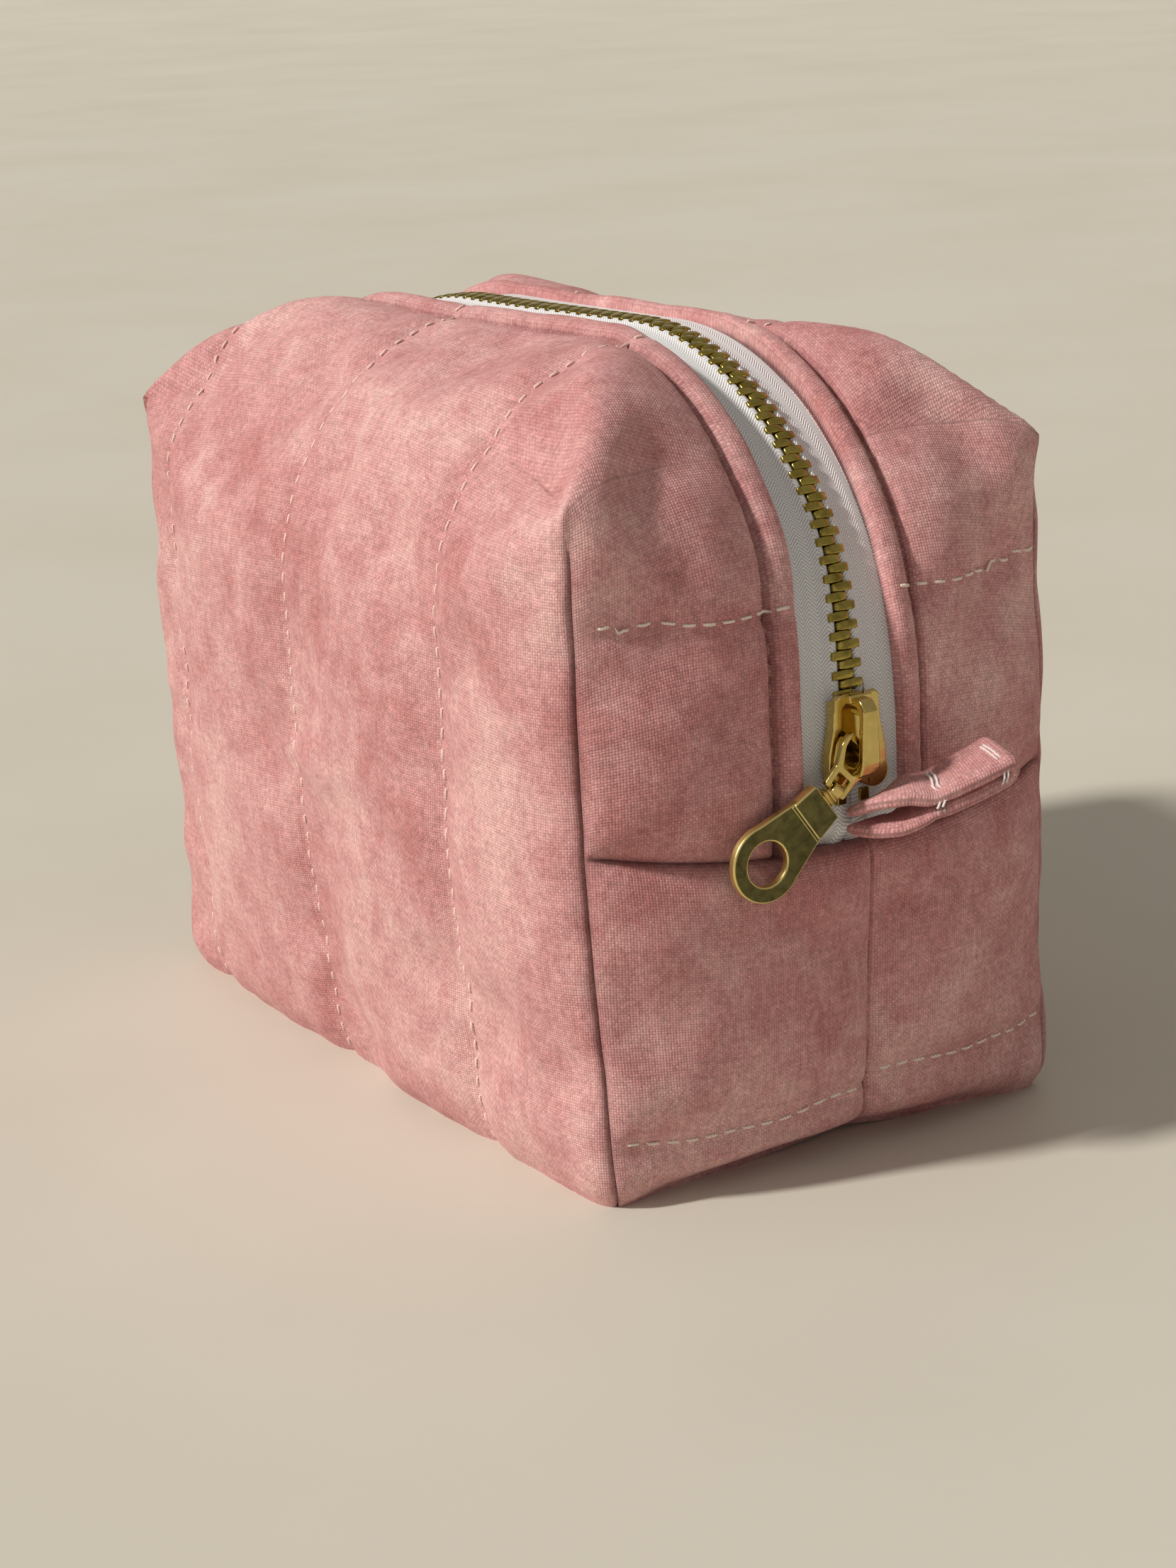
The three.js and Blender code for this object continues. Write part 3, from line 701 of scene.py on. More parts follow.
def cotton(name, light, base, dark):
    """Dyed cotton: a mottled plain weave, each yarn of its own shade and thickness, with painted
    shade in the gaps between yarns and along seams and grooves, and a faint painted highlight on the
    yarns' tops.
    """
    n = Nodes(name)
    cloth = n.attribute("cloth")
    place = n.attribute("place")
    big = n.noise(place, 0.03, 2.0, 0.5, 0.5)
    mid = n.noise(place, 0.16, 5.0, 0.72, 0.3)
    mottle = n.plus(n.times(big, 0.5), n.times(mid, 0.5))
    color = n.ramp(mottle, [(0.38, dark), (0.5, base), (0.62, light)])
    speckle = n.noise(place, 1.25, 3.0, 0.75)
    color = n.mix(1.0, color, n.ramp(speckle, [(0.34, 0.78), (0.66, 1.16)]), "MULTIPLY")
    weft_shade = n.noise(n.scaled(cloth, (0.12, 1.9, 1.0)), 1.0, 2.0, 0.7)
    warp_shade = n.noise(n.scaled(cloth, (1.9, 0.12, 1.0)), 1.0, 2.0, 0.7)
    over = yarns(n, cloth)
    warp_up = n.ramp(n.plus(n.times(over, 2.0), 0.5), [(0.0, 0.0), (1.0, 1.0)])
    shade = n.mix(warp_up, n.ramp(weft_shade, [(0.3, 0.66), (0.7, 1.0)]),
                  n.ramp(warp_shade, [(0.3, 0.78), (0.7, 1.12)]))
    color = n.mix(0.85, color, shade, "MULTIPLY")
    # painted shade in the gaps between yarns, and a faint painted highlight on the yarns' tops
    yarn_gap_shade = n.ramp(n.math("ABSOLUTE", over), [(0.0, 0.66), (0.3, 0.92), (1.0, 1.06)])
    color = n.mix(0.9, color, yarn_gap_shade, "MULTIPLY")
    # painted shade: darkens the colour where the panel's mask marks the seams and the topstitch
    # groove
    crease_shade = n.add("Attribute", attribute_name="crease_shade").outputs["Fac"]
    shadow = n.mix(1.0, color, (0.35, 0.26, 0.26), "MULTIPLY")
    color = n.mix(n.times(crease_shade, 0.6), color, shadow)
    height = n.plus(n.math("ABSOLUTE", over), n.times(warp_shade, 0.5))
    normal = n.bump(height, 0.6, 0.00012)
    return n.finish(Base_Color=color, Roughness=0.88, Sheen_Weight=0.12, Sheen_Roughness=0.5,
                    Sheen_Tint=(*srgb(255, 225, 220), 1), Specular_IOR_Level=0.2, Normal=normal)


def herringbone(name, base, shade):
    """White zip tape woven in narrow chevrons."""
    n = Nodes(name)
    cloth = n.attribute("cloth")
    split = n.add("SeparateXYZ", {0: cloth})
    chevron = n.math("PINGPONG", split.outputs[1], 1.35)
    slanted = n.plus(split.outputs[0], n.times(chevron, 1.1))
    line = n.times(slanted, TAU / 0.62)
    rib = n.plus(n.times(n.math("SINE", line), 0.5), 0.5)
    fuzz = n.noise(cloth, 3.5, 3.0)
    color = n.mix(rib, shade, base)
    color = n.mix(0.25, color, n.ramp(fuzz, [(0.3, 0.8), (0.6, 1.0)]), "MULTIPLY")
    height = n.plus(rib, n.times(fuzz, 0.5))
    return n.finish(Base_Color=color, Roughness=0.7, Sheen_Weight=0.1, Specular_IOR_Level=0.4,
                    Normal=n.bump(height, 0.7, 0.00018))


def thread(name, base, shade):
    n = Nodes(name)
    place = n.attribute("place")
    twist = n.add("TexWave", {"Vector": place, "Scale": 1.1, "Distortion": 1.0, "Detail": 1.0},
                  bands_direction="DIAGONAL").outputs["Fac"]
    return n.finish(Base_Color=n.mix(twist, shade, base), Roughness=0.6, Sheen_Weight=0.2,
                    Normal=n.bump(twist, 0.4, 0.0001))


def brass(name, base, dark, roughness, stain=0.5, rim=None):
    """Brass with tarnish in patches, fine scratches, and bright worn rims where told."""
    n = Nodes(name)
    place = n.add("TexCoord").outputs["Object"]
    patch = n.noise(place, 420, 4.0, 0.65, 0.5)
    scratch = n.noise(n.scaled(place, (1, 6, 1)), 1800, 2.0)
    color = n.mix(n.times(n.ramp(patch, [(0.35, 0.0), (0.7, 1.0)]), stain), base, dark)
    patch_rough = n.times(n.math("SUBTRACT", patch, 0.4), 0.3)
    rough = n.math("ADD", roughness, patch_rough, clamp=True)
    if rim:
        edge = n.add("Attribute", attribute_name="rim").outputs["Fac"]
        color = n.mix(edge, color, rim)
    height = n.plus(n.times(scratch, 0.4), n.times(patch, 0.6))
    return n.finish(Base_Color=color, Metallic=1.0, Roughness=rough,
                    Normal=n.bump(height, 0.06, 0.0001))


PINK = cotton("pink_cotton", srgb(244, 194, 190), srgb(227, 167, 166), srgb(208, 140, 139))
LINING = cotton("lining_cotton", srgb(240, 218, 212), srgb(228, 198, 192), srgb(212, 178, 172))
WHITE = herringbone("white_tape", srgb(255, 255, 255), srgb(205, 206, 210))
CREAM = thread("cream_thread", srgb(252, 240, 228), srgb(222, 198, 184))
PALE = thread("pale_thread", srgb(255, 230, 222), srgb(222, 180, 172))
ROSE = thread("rose_thread", srgb(206, 160, 140), srgb(140, 84, 76))
SNOW = thread("white_thread", srgb(245, 240, 236), srgb(215, 200, 195))
GOLD = brass("gold_brass", srgb(214, 190, 118), srgb(146, 124, 64), 0.13, 0.35)
TEETH = brass("tooth_brass", srgb(184, 164, 84), srgb(98, 84, 32), 0.2, 0.7)
ANTIQUE = brass("antique_brass", srgb(112, 106, 66), srgb(66, 62, 38), 0.34, 0.8,
                rim=srgb(232, 212, 140))


def dress(obj, material):
    obj.data.materials.clear()
    obj.data.materials.append(material)
    return obj


def bend_with_mouth(obj):
    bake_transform(obj)


PANEL_PITCH, LINING_PITCH = 1.3, 3.4
PANEL_THICK, LINING_TOP, LINING_UNDER = 2.1, 2.5, 2.95  # depths under the outside


def yarn_place(facts):
    return np.stack([facts["u"], facts["v"], np.zeros(len(facts["u"]))], axis=1)


def panel(name, side):
    """An outer panel, its outer skin to find the cloth on, and the line of its topstitching."""
    points, quads, facts = weld(panel_patches(side, PANEL_PITCH))
    outer, inner = sculpt(points, quads, facts, side, (0.0, PANEL_THICK))
    seam = np.minimum(facts["corner"], np.where(is_end(facts), facts["end"], FAR))
    # painted shade: a mask that darkens the cloth's colour along the corner and end seams and in the
    # topstitch groove, where shade falls
    crease_shade = groove(seam, 1.0, 0.9) + groove(facts["run"] - STITCH_RUN, 1.0, 0.7)
    attributes = {"cloth": yarn_place(facts), "crease_shade": np.minimum(crease_shade, 1)}
    obj = two_skins(f"panel_{name}", outer, inner, quads, attributes)
    tree = BVHTree.FromPolygons((outer * MM).tolist(), quads.tolist())
    stitched = np.flatnonzero(np.abs(facts["run"] - STITCH_RUN) < 0.01)
    stitched = stitched[np.argsort(facts["u"][stitched])]
    return obj, tree, outer[stitched]


def lining(name, side):
    points, quads, facts = weld(panel_patches(side, LINING_PITCH))
    outer, inner = sculpt(points, quads, facts, side, (LINING_TOP, LINING_UNDER))
    return two_skins(f"inner_{name}", outer, inner, quads, {"cloth": yarn_place(facts)})


skins = {}
stitch_lines = {}
for name, side in SIDES.items():
    obj, skins[name], stitch_lines[name] = panel(name, side)
    dress(obj, PINK)
    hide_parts(f"outer_{name}_lower", f"outer_{name}_upper", f"wadding_{name}")
    inner = dress(lining(name, side), LINING)
    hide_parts(f"lining_{name}")

# Zip
def zip_point(run, depth):
    """x and z on the zip's middle line, by the run from the foot of the near bend."""
    run, depth = np.broadcast_arrays(np.asarray(run, float), np.asarray(depth, float))
    back = run > ZIP_LENGTH / 2
    r = np.where(back, ZIP_LENGTH - run, run)
    radius = ZIP_BEND - depth
    turn = np.clip(r / ZIP_BEND, 0, math.pi / 2)
    x = BEND_X + radius * np.cos(turn) - np.maximum(r - BEND_RUN, 0)
    z = BEND_Z + radius * np.sin(turn) + np.minimum(r, 0)
    return np.where(back, -x, x), z


TAPE_TAIL = 8.0
CORD_EDGE = 1.3  # from the zip's middle to each tape's cord, but less under the closed slider
CORD_SLACK = 0.12
TAPE_PROFILE = [  # distance from the zip's middle, and depth: over the top, then back underneath
    (1.3, 1.4), (1.45, 0.75), (1.9, 0.45), (2.4, 0.45), (2.9, 0.8), (3.3, 1.1), (4.2, 1.25),
    (5.4, 1.4), (6.6, 1.4), (7.8, 1.3), (9.0, 1.25), (10.4, 1.2), (12.2, 1.3),
    (12.2, 1.9), (9.0, 1.9), (6.6, 2.0), (4.2, 1.9), (3.1, 2.0), (2.4, 2.25), (1.7, 2.1), (1.35, 1.8),
]


def zip_tape(name, side):
    """A woven strip with a cord along its inner edge, dipping between the teeth and the fold."""
    first = SEAM_HEIGHT - TAPE_TAIL - BEND_Z
    runs = np.arange(first, ZIP_LENGTH - first, 1.1)
    sink = 2.6 * smooth((SEAM_HEIGHT - 1.0 - BEND_Z - np.minimum(runs, ZIP_LENGTH - runs)) / 4.0)
    ring = np.array(TAPE_PROFILE)
    x, z = zip_point(runs[:, None], ring[None, :, 1] + sink[:, None])
    closed = (CORD_EDGE - CORD_SLACK) * smooth((66 - z) / 4) * (ring[None, :, 0] < 1.8)
    y = side * (ring[None, :, 0] - closed)
    points = sway(np.stack([x, y, z], axis=-1).reshape(-1, 3))
    count = len(ring)
    faces = []
    for m in range(len(runs) - 1):
        for k in range(count):
            a, b = m * count + k, m * count + (k + 1) % count
            faces.append([a, b, b + count, a + count])
    faces.append(list(range(count))[::-1])
    faces.append([(len(runs) - 1) * count + k for k in range(count)])
    if side > 0:
        faces = [f[::-1] for f in faces]
    cloth = np.broadcast_arrays(runs[:, None], ring[None, :, 0], 0.0)
    cloth = np.stack(cloth, axis=-1)
    obj = make_mesh(f"tape_{name}", points, faces, {"cloth": cloth.reshape(-1, 3), "place": points})
    return dress(obj, WHITE)


def tooth_template():
    """One brass element: legs over the cord outside, a rounded head with a peg inside."""
    b = bmesh.new()
    bmesh.ops.create_cube(b, size=1)
    for v in b.verts:
        v.co = Vector((v.co.x * 1.42, (v.co.y + 0.5) * 4.0 - 1.3, (v.co.z + 0.5) * 2.3))
    for cut in (-0.2, 1.2):
        bmesh.ops.bisect_plane(b, geom=b.verts[:] + b.edges[:] + b.faces[:],
                               plane_co=(0, cut, 0), plane_no=(0, 1, 0))
    for v in b.verts:
        if v.co.y < -1.2:
            v.co.x *= 0.86
            v.co.z = 1.15 + (v.co.z - 1.15) * 0.7
        if abs(v.co.y + 0.2) < 0.01:
            v.co.z = 1.15 + (v.co.z - 1.15) * 0.94
        if v.co.y > 2.6:
            v.co.x *= 0.88
            v.co.z = 1.15 + (v.co.z - 1.15) * 0.8
    bmesh.ops.bevel(b, geom=b.edges[:], offset=0.2, segments=2, affect="EDGES", profile=0.5)
    bmesh.ops.triangulate(b, faces=[f for f in b.faces if len(f.verts) > 4])
    points = np.array([v.co for v in b.verts])
    b.verts.index_update()
    faces = [[v.index for v in f.verts] for f in b.faces]
    b.free()
    return points, faces


def zip_teeth(name, side):
    template, faces = tooth_template()
    first = 67.8 - BEND_Z + (0.55 if side < 0 else 0.55 + TOOTH_PITCH / 2)
    last = ZIP_LENGTH - (62.8 - BEND_Z)
    points, all_faces = [], []
    for n, station in enumerate(np.arange(first, last, TOOTH_PITCH)):
        x, z = zip_point(station + template[:, 0], 2.3 - template[:, 2])
        points.append(np.stack([x, side * template[:, 1], z], axis=1))
        all_faces += [[i + n * len(template) for i in (f if side < 0 else f[::-1])] for f in faces]
    obj = make_mesh(f"teeth_{name}", sway(np.concatenate(points)), all_faces)
    return dress(obj, TEETH)


for name, side in SIDES.items():
    tape = zip_tape(name, side)
    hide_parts(f"zip_tape_{name}")
    teeth = zip_teeth(name, side)
    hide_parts(f"zip_teeth_{name}")
    for obj in (tape, teeth):
        bend_with_mouth(obj)


# Small brass pieces
def outline_piece(name, loops, thickness, bevel, basis, material=GOLD):
    """A flat piece with rounded edges. loops are closed outlines, the first one outside; basis
    takes the outline's x, y and the thickness to the bag's millimetres."""
    curve = bpy.data.curves.new(name, "CURVE")
    curve.dimensions = "2D"
    curve.fill_mode = "BOTH"
    curve.extrude = max(thickness / 2 - bevel, 0.001)
    curve.bevel_depth = bevel
    curve.bevel_resolution = 3
    curve.offset = -bevel
    for loop in loops:
        spline = curve.splines.new("POLY")
        spline.points.add(len(loop) - 1)
        for point, (x, y) in zip(spline.points, loop):
            point.co = (x, y, 0, 1)
        spline.use_cyclic_u = True
    holder = linked(name + "_outline", curve)
    graph = bpy.context.evaluated_depsgraph_get()
    mesh = bpy.data.meshes.new_from_object(holder.evaluated_get(graph))
    bpy.data.objects.remove(holder)
    b = bmesh.new()
    b.from_mesh(mesh)
    bmesh.ops.remove_doubles(b, verts=b.verts, dist=1e-4)
    b.normal_update()
    rim = b.verts.layers.float.new("rim")
    for v in b.verts:
        v[rim] = 1.0 if abs(v.normal.z) < 0.93 else 0.0
    b.to_mesh(mesh)
    b.free()
    mesh.name = name
    mesh.transform(Matrix.Scale(MM, 4) @ basis)
    if basis.determinant() < 0:
        mesh.flip_normals()
    mesh.shade_smooth()
    obj = linked(name, mesh)
    normals = obj.modifiers.new("normals", "WEIGHTED_NORMAL")
    normals.keep_sharp = True
    return dress(obj, material)


def frame_basis(origin, right, up):
    right, up = Vector(right), Vector(up)
    out = right.cross(up)
    m = Matrix((right, up, out)).transposed().to_4x4()
    m.translation = Vector(origin)
    return m


def facing(x):
    """Outlines in y and z, thick about x."""
    return frame_basis((x, 0, 0), (0, 1, 0), (0, 0, 1))


def arc_points(cx, cy, radius, start, end, count):
    angles = np.radians(np.linspace(start, end, count))
    return [(cx + radius * math.cos(t), cy + radius * math.sin(t)) for t in angles]


def rounded(points, radius=0.3, count=4):
    """A polygon with its corners rounded."""
    result = []
    size = len(points)
    for n in range(size):
        p = Vector(points[n])
        back = Vector(points[n - 1]) - p
        ahead = Vector(points[(n + 1) % size]) - p
        cut = min(radius, back.length / 2.2, ahead.length / 2.2)
        a, c = p + back.normalized() * cut, p + ahead.normalized() * cut
        for t in np.linspace(0, 1, count):
            result.append(tuple(a * (1 - t) ** 2 + p * 2 * t * (1 - t) + c * t**2))
    return result


SLIDER_MIDDLE, SLIDER_HALF = 70.0, 7.5
TAIL, NOSE = SLIDER_MIDDLE + SLIDER_HALF, SLIDER_MIDDLE - SLIDER_HALF


def slider_plan():
    """The slider's plate: narrow at the tail, two round lobes at the nose."""
    right = [(4.1, TAIL - 0.6), (4.15, TAIL - 3), (4.4, TAIL - 5.2), (5.2, SLIDER_MIDDLE - 1.4)]
    lobe = arc_points(3.1, NOSE + 2.45, 2.45, 25, -110, 9)
    half = [(3.4, TAIL)] + right + lobe + [(1.1, NOSE + 0.75), (0, NOSE + 1.3)]
    left = [(-x, y) for x, y in half[:-1]][::-1]
    return half + left


def slider_pieces():
    plan = [slider_plan()]
    made = [outline_piece("slider_top_plate", plan, 1.0, 0.32, facing(84.05)),
            outline_piece("slider_under_plate", plan, 0.9, 0.3, facing(79.55))]
    wall = [(4.1, TAIL - 0.9), (4.2, TAIL - 4), (5.25, SLIDER_MIDDLE - 2.4), (5.3, NOSE + 2.4),
            (4.7, NOSE + 1.4), (4.2, NOSE + 1.8), (4.5, SLIDER_MIDDLE - 2.4), (3.5, TAIL - 4),
            (3.4, TAIL - 0.9)]
    for name, side in SIDES.items():
        loops = [rounded([(side * x, y) for x, y in wall])]
        for label, x, deep in (("upper", 83.2, 1.6), ("under", 80.4, 1.5)):
            made.append(outline_piece(f"slider_{label}_rim_{name}", loops, deep, 0.28, facing(x)))
    wedge = [(-0.9, NOSE + 1.2), (0.9, NOSE + 1.2), (0.4, NOSE + 3.2), (-0.4, NOSE + 3.2)]
    made.append(outline_piece("slider_wedge", [rounded(wedge)], 3.9, 0.1, facing(81.8)))
    return made


def crown_piece():
    """The bridge on the slider that the link runs in, narrower towards the tail."""
    low, high = 64.7, 77.0
    outside = [(84.3, high), (86.9, high), (88.1, 75.7), (88.1, 67.2), (87.2, 65.2), (85.9, low),
               (84.3, low)]
    inside = [(84.3, 66.4), (85.6, 66.5), (86.7, 67.6), (86.75, 74.8), (86.0, 75.7), (84.3, 75.8)]
    side_view = frame_basis((0, 0, 0), (1, 0, 0), (0, 0, 1))
    loop = rounded(outside, 0.7, 6) + rounded(inside, 0.5)
    obj = outline_piece("crown", [loop], 3.5, 0.42, side_view)
    for v in obj.data.vertices:
        share = (v.co.z / MM - low) / (high - low)
        v.co.y *= 1 - 0.3 * share
    return obj


body = slider_pieces()
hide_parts("slider_body")
shelf = [(-1.9, 76.2), (1.9, 76.2), (2.1, 77.5), (-2.1, 77.5)]
shelf = outline_piece("crown_shelf", [rounded(shelf)], 1.2, 0.25, facing(85.0))
crown = crown_piece()
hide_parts("slider_crown")
pin = [(-0.45, TAIL - 3.3), (0.45, TAIL - 3.3), (0.45, TAIL - 2.3), (-0.45, TAIL - 2.3)]
pin = outline_piece("lock_pin", [rounded(pin)], 2.2, 0.1, facing(84.5))
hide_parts("slider_lock_pin")
for obj in body + [crown, shelf, pin]:
    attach(obj, "slider")

# Pull
LINK_PIVOT = Vector((85.85, 0, 69.4))
LINK_LEAN, PULLER_LEAN = math.radians(45), math.radians(55)
LINK_REACH = 7.75
RING_CENTRE, RING_RADIUS, RING_HOLE = 15.5, 6.0, 3.5


def down(lean):
    return Vector((0, -math.sin(lean), -math.cos(lean)))


def pull_basis(pivot, lean):
    along = down(lean)
    return frame_basis(pivot, along, Vector((1, 0, 0)).cross(along))


def mirrored(points):
    return points + [(u, -v) for u, v in reversed(points)]


def link_piece():
    edge = mirrored([(-0.5, 3.3), (0.2, 3.8), (2.0, 3.7), (4.6, 2.5), (5.0, 2.35), (8.2, 2.3)])
    window = mirrored([(0.5, 2.95), (1.8, 2.8), (4.3, 1.2)])
    slot = mirrored([(5.35, 1.3), (7.25, 1.3)])
    loops = [rounded(edge, 0.5), rounded(window, 0.3), rounded(slot, 0.2)]
    return outline_piece("pull_link_plate", loops, 1.0, 0.22, pull_basis(LINK_PIVOT, LINK_LEAN))


def puller_pieces():
    bar = LINK_PIVOT + down(LINK_LEAN) * LINK_REACH
    basis = pull_basis(bar, PULLER_LEAN)
    ring = arc_points(RING_CENTRE, 0, RING_RADIUS, -114, 114, 40)
    body_loop = [(6.0, -3.75)] + ring + [(6.0, 3.75)]
    hole = arc_points(RING_CENTRE, 0, RING_HOLE, 0, 360 - 10, 36)
    block = rounded([(2.3, -3.35), (6.9, -3.75), (6.9, 3.75), (2.3, 3.35)], 0.4)
    step = rounded([(6.6, -3.7), (7.3, -3.74), (7.3, 3.74), (6.6, 3.7)], 0.1)
    made = []
    for name, loops, thick, bevel in (("puller_plate", [body_loop, hole], 1.45, 0.3),
                                      ("puller_block", [block], 2.0, 0.25),
                                      ("puller_step", [step], 1.75, 0.12)):
        made.append(outline_piece(name, loops, thick, bevel, basis, ANTIQUE))
    for n, (start, half) in enumerate([(0.75, 1.25), (1.45, 1.4)]):
        end = start + 0.62
        ridge = rounded([(start, -half), (end, -half), (end, half), (start, half)], 0.15)
        made.append(outline_piece(f"puller_neck_ridge_{n}", [ridge], 1.9, 0.26, basis))
    neck = rounded([(0.4, -1.0), (2.6, -1.0), (2.6, 1.0), (0.4, 1.0)], 0.1)
    made.append(outline_piece("puller_neck", [neck], 1.2, 0.2, basis))
    eye = frame_basis(bar, down(LINK_LEAN), Vector((1, 0, 0)))
    loops = [arc_points(0, 0, 1.2, 0, 340, 18), arc_points(0, 0, 0.72, 0, 340, 18)]
    made.append(outline_piece("puller_eye", loops, 1.9, 0.15, eye))
    return made


link = link_piece()
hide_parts("pull_link")
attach(link, "link")
puller = puller_pieces()
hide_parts("puller")
for obj in puller:
    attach(obj, "puller")

# Stops
END_FACE = HALF_LENGTH + END_BULGE
STOP_FACE = END_FACE - 1.2
for name, side in SIDES.items():
    clip = [(side * 1.2, 60.2), (side * 3.0, 60.2), (side * 3.0, 62.2), (side * 1.2, 62.2)]
    stop = outline_piece(f"top_stop_{name}", [rounded(clip)], 2.2, 0.3, facing(STOP_FACE), TEETH)
    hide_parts(f"zip_top_stop_{name}")
    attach(stop, "bag")
clip = rounded([(-3.0, 59.6), (3.0, 59.6), (3.0, 62.2), (-3.0, 62.2)], 0.5)
stop = outline_piece("bottom_stop", [clip], 2.2, 0.35, facing(-STOP_FACE), TEETH)
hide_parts("zip_bottom_stop")
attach(stop, "bag")

# Tab
TAB_WIDTH, TAB_LENGTH = 8.0, 22.5
TAB_ROOT = Vector((83.7, 1.5, SEAM_HEIGHT))
TAB_CLIMB, TAB_TILT = 0.33, 0.28
TAB_HALF = 1.15  # half the thickness of each of the strip's two bands, and their bend's radius
TAB_STITCHES = (11, 20.5)  # where the thread bars pinch the strip


def tab_plan(run):
    """The tab leaves the seam straight out, turns sideways and runs along the end."""
    first_run, first_turn, last_turn = 6.0, math.pi / 3, math.pi / 6
    radius = first_run / first_turn
    near = min(run, first_run) / radius
    x, y = radius * math.sin(near), radius * (1 - math.cos(near))
    if run <= first_run:
        return x, y, near
    rate = last_turn / (TAB_LENGTH - first_run)
    heading = first_turn + (run - first_run) * rate
    x += (math.sin(heading) - math.sin(first_turn)) / rate
    y += (math.cos(first_turn) - math.cos(heading)) / rate
    return x, y, heading


def tab_point(run, off, height):
    x, y, heading = tab_plan(run)
    tilt = TAB_TILT * float(smooth((run - 2) / 10))
    return (TAB_ROOT.x + x - off * math.sin(heading), TAB_ROOT.y + y + off * math.cos(heading),
            TAB_ROOT.z + TAB_CLIMB * run + height + off * tilt)


def tab_piece():
    """A folded strip: out along the lower band, round the tip and back along the upper one."""
    half = TAB_HALF
    gap = lambda run: 1.15 * math.sin(math.pi * np.clip((run - 0.5) / 9.5, 0, 1)) ** 0.9
    flat = np.linspace(0, TAB_LENGTH - half, 34)
    lower = [(run, -half - gap(run)) for run in flat]
    bend = [(TAB_LENGTH - half + half * math.sin(t), -half * math.cos(t))
            for t in np.linspace(0.4, math.pi - 0.4, 6)]
    upper = [(run, half + gap(run)) for run in flat[::-1]]
    path = lower + bend + upper
    points, cloth, faces = [], [], []
    around = 20
    length = 0
    for n, (run, height) in enumerate(path):
        ahead, behind = path[min(n + 1, len(path) - 1)], path[max(n - 1, 0)]
        tangent = Vector((ahead[0] - behind[0], ahead[1] - behind[1])).normalized()
        normal = Vector((-tangent.y, tangent.x))
        if n:
            length += math.hypot(run - path[n - 1][0], height - path[n - 1][1])
        pinch = min(1.0, math.sqrt(run / 1.5 + 0.2))
        for at, depth, width in zip(TAB_STITCHES, (0.22, 0.14), (1.0, 0.9)):
            pinch -= groove(run - at, depth, width)
        for k in range(around):
            t = TAU * k / around
            c, s = math.cos(t), math.sin(t)
            off = TAB_WIDTH / 2 * math.copysign(abs(c) ** 0.32, c)
            thick = half * math.copysign(abs(s) ** 0.75, s) * pinch
            wob = 0.12 * noise.noise(Vector((run * 0.35, off * 0.3, height + 9)))
            points.append(tab_point(run + normal.x * thick, off, height + normal.y * thick + wob))
            cloth.append((length, off + 20 * (s < 0), 0))
        if n:
            a, b = (n - 1) * around, n * around
            for k in range(around):
                m = (k + 1) % around
                faces.append([a + k, b + k, b + m, a + m])
    faces += [list(range(around)), [len(points) - around + k for k in range(around)][::-1]]
    attributes = {"cloth": np.array(cloth), "place": np.array(points)}
    obj = make_mesh("tab", points, faces, attributes)
    face_out(obj)
    subdivide = obj.modifiers.new("smooth", "SUBSURF")
    subdivide.levels = subdivide.render_levels = 1
    apply_modifiers(obj)
    return dress(obj, PINK)


tab = tab_piece()
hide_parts("side_tab")
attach(tab, "tab")


# Threads
THREAD_SIDES = 6


class Threads:
    """Short stitches gathered into one mesh."""

    def __init__(self):
        self.points, self.faces = [], []

    def add(self, path, normal, radius):
        """One stitch along a few points, with closed round ends."""
        path = [Vector(p) for p in path]
        sides = THREAD_SIDES
        first = len(self.points)
        shape = [0.35, 1.0, 1.0, 1.0, 0.35] if len(path) == 5 else [1.0] * len(path)
        for n, p in enumerate(path):
            tangent = (path[min(n + 1, len(path) - 1)] - path[max(n - 1, 0)]).normalized()
            across = tangent.cross(normal).normalized()
            lift = across.cross(tangent).normalized()
            for k in range(sides):
                t = TAU * k / sides
                r = radius * shape[n]
                self.points.append(p + across * r * math.cos(t) * 1.15 + lift * r * math.sin(t))
        for n in range(len(path) - 1):
            a = first + n * sides
            for k in range(sides):
                m = (k + 1) % sides
                self.faces.append([a + k, a + m, a + sides + m, a + sides + k])
        last = first + (len(path) - 1) * sides
        self.faces.append([first + k for k in range(sides)][::-1])
        self.faces.append([last + k for k in range(sides)])

    def made(self, name, material):
        points = np.array([list(p) for p in self.points])
        obj = make_mesh(name, points, self.faces, {"place": points})
        face_out(obj)
        return dress(obj, material)


STITCH_SINK = 0.35  # of a stitch's ends into the cloth, less for a stitch that lies low


def sew(threads, tree, line, length, radius, rise_by):
    """Stitches along a dense line of points near the cloth, each pulled down at its ends."""
    steps = np.r_[0, np.cumsum(np.linalg.norm(np.diff(line, axis=0), axis=1))]
    ends = -STITCH_SINK * rise_by / max(rise_by, 0.1)
    for start in np.arange(STITCH_PITCH * 0.3, steps[-1] - length, STITCH_PITCH):
        path, normal = [], Vector()
        for share in (0, 0.2, 0.5, 0.8, 1):
            at = [np.interp(start + share * length, steps, line[:, axis]) for axis in range(3)]
            hit, out, _, _ = tree.find_nearest(Vector(at) * MM)
            normal += out
            path.append(hit / MM + out * (rise_by if 0 < share < 1 else ends))
        threads.add(path, normal.normalized(), radius)


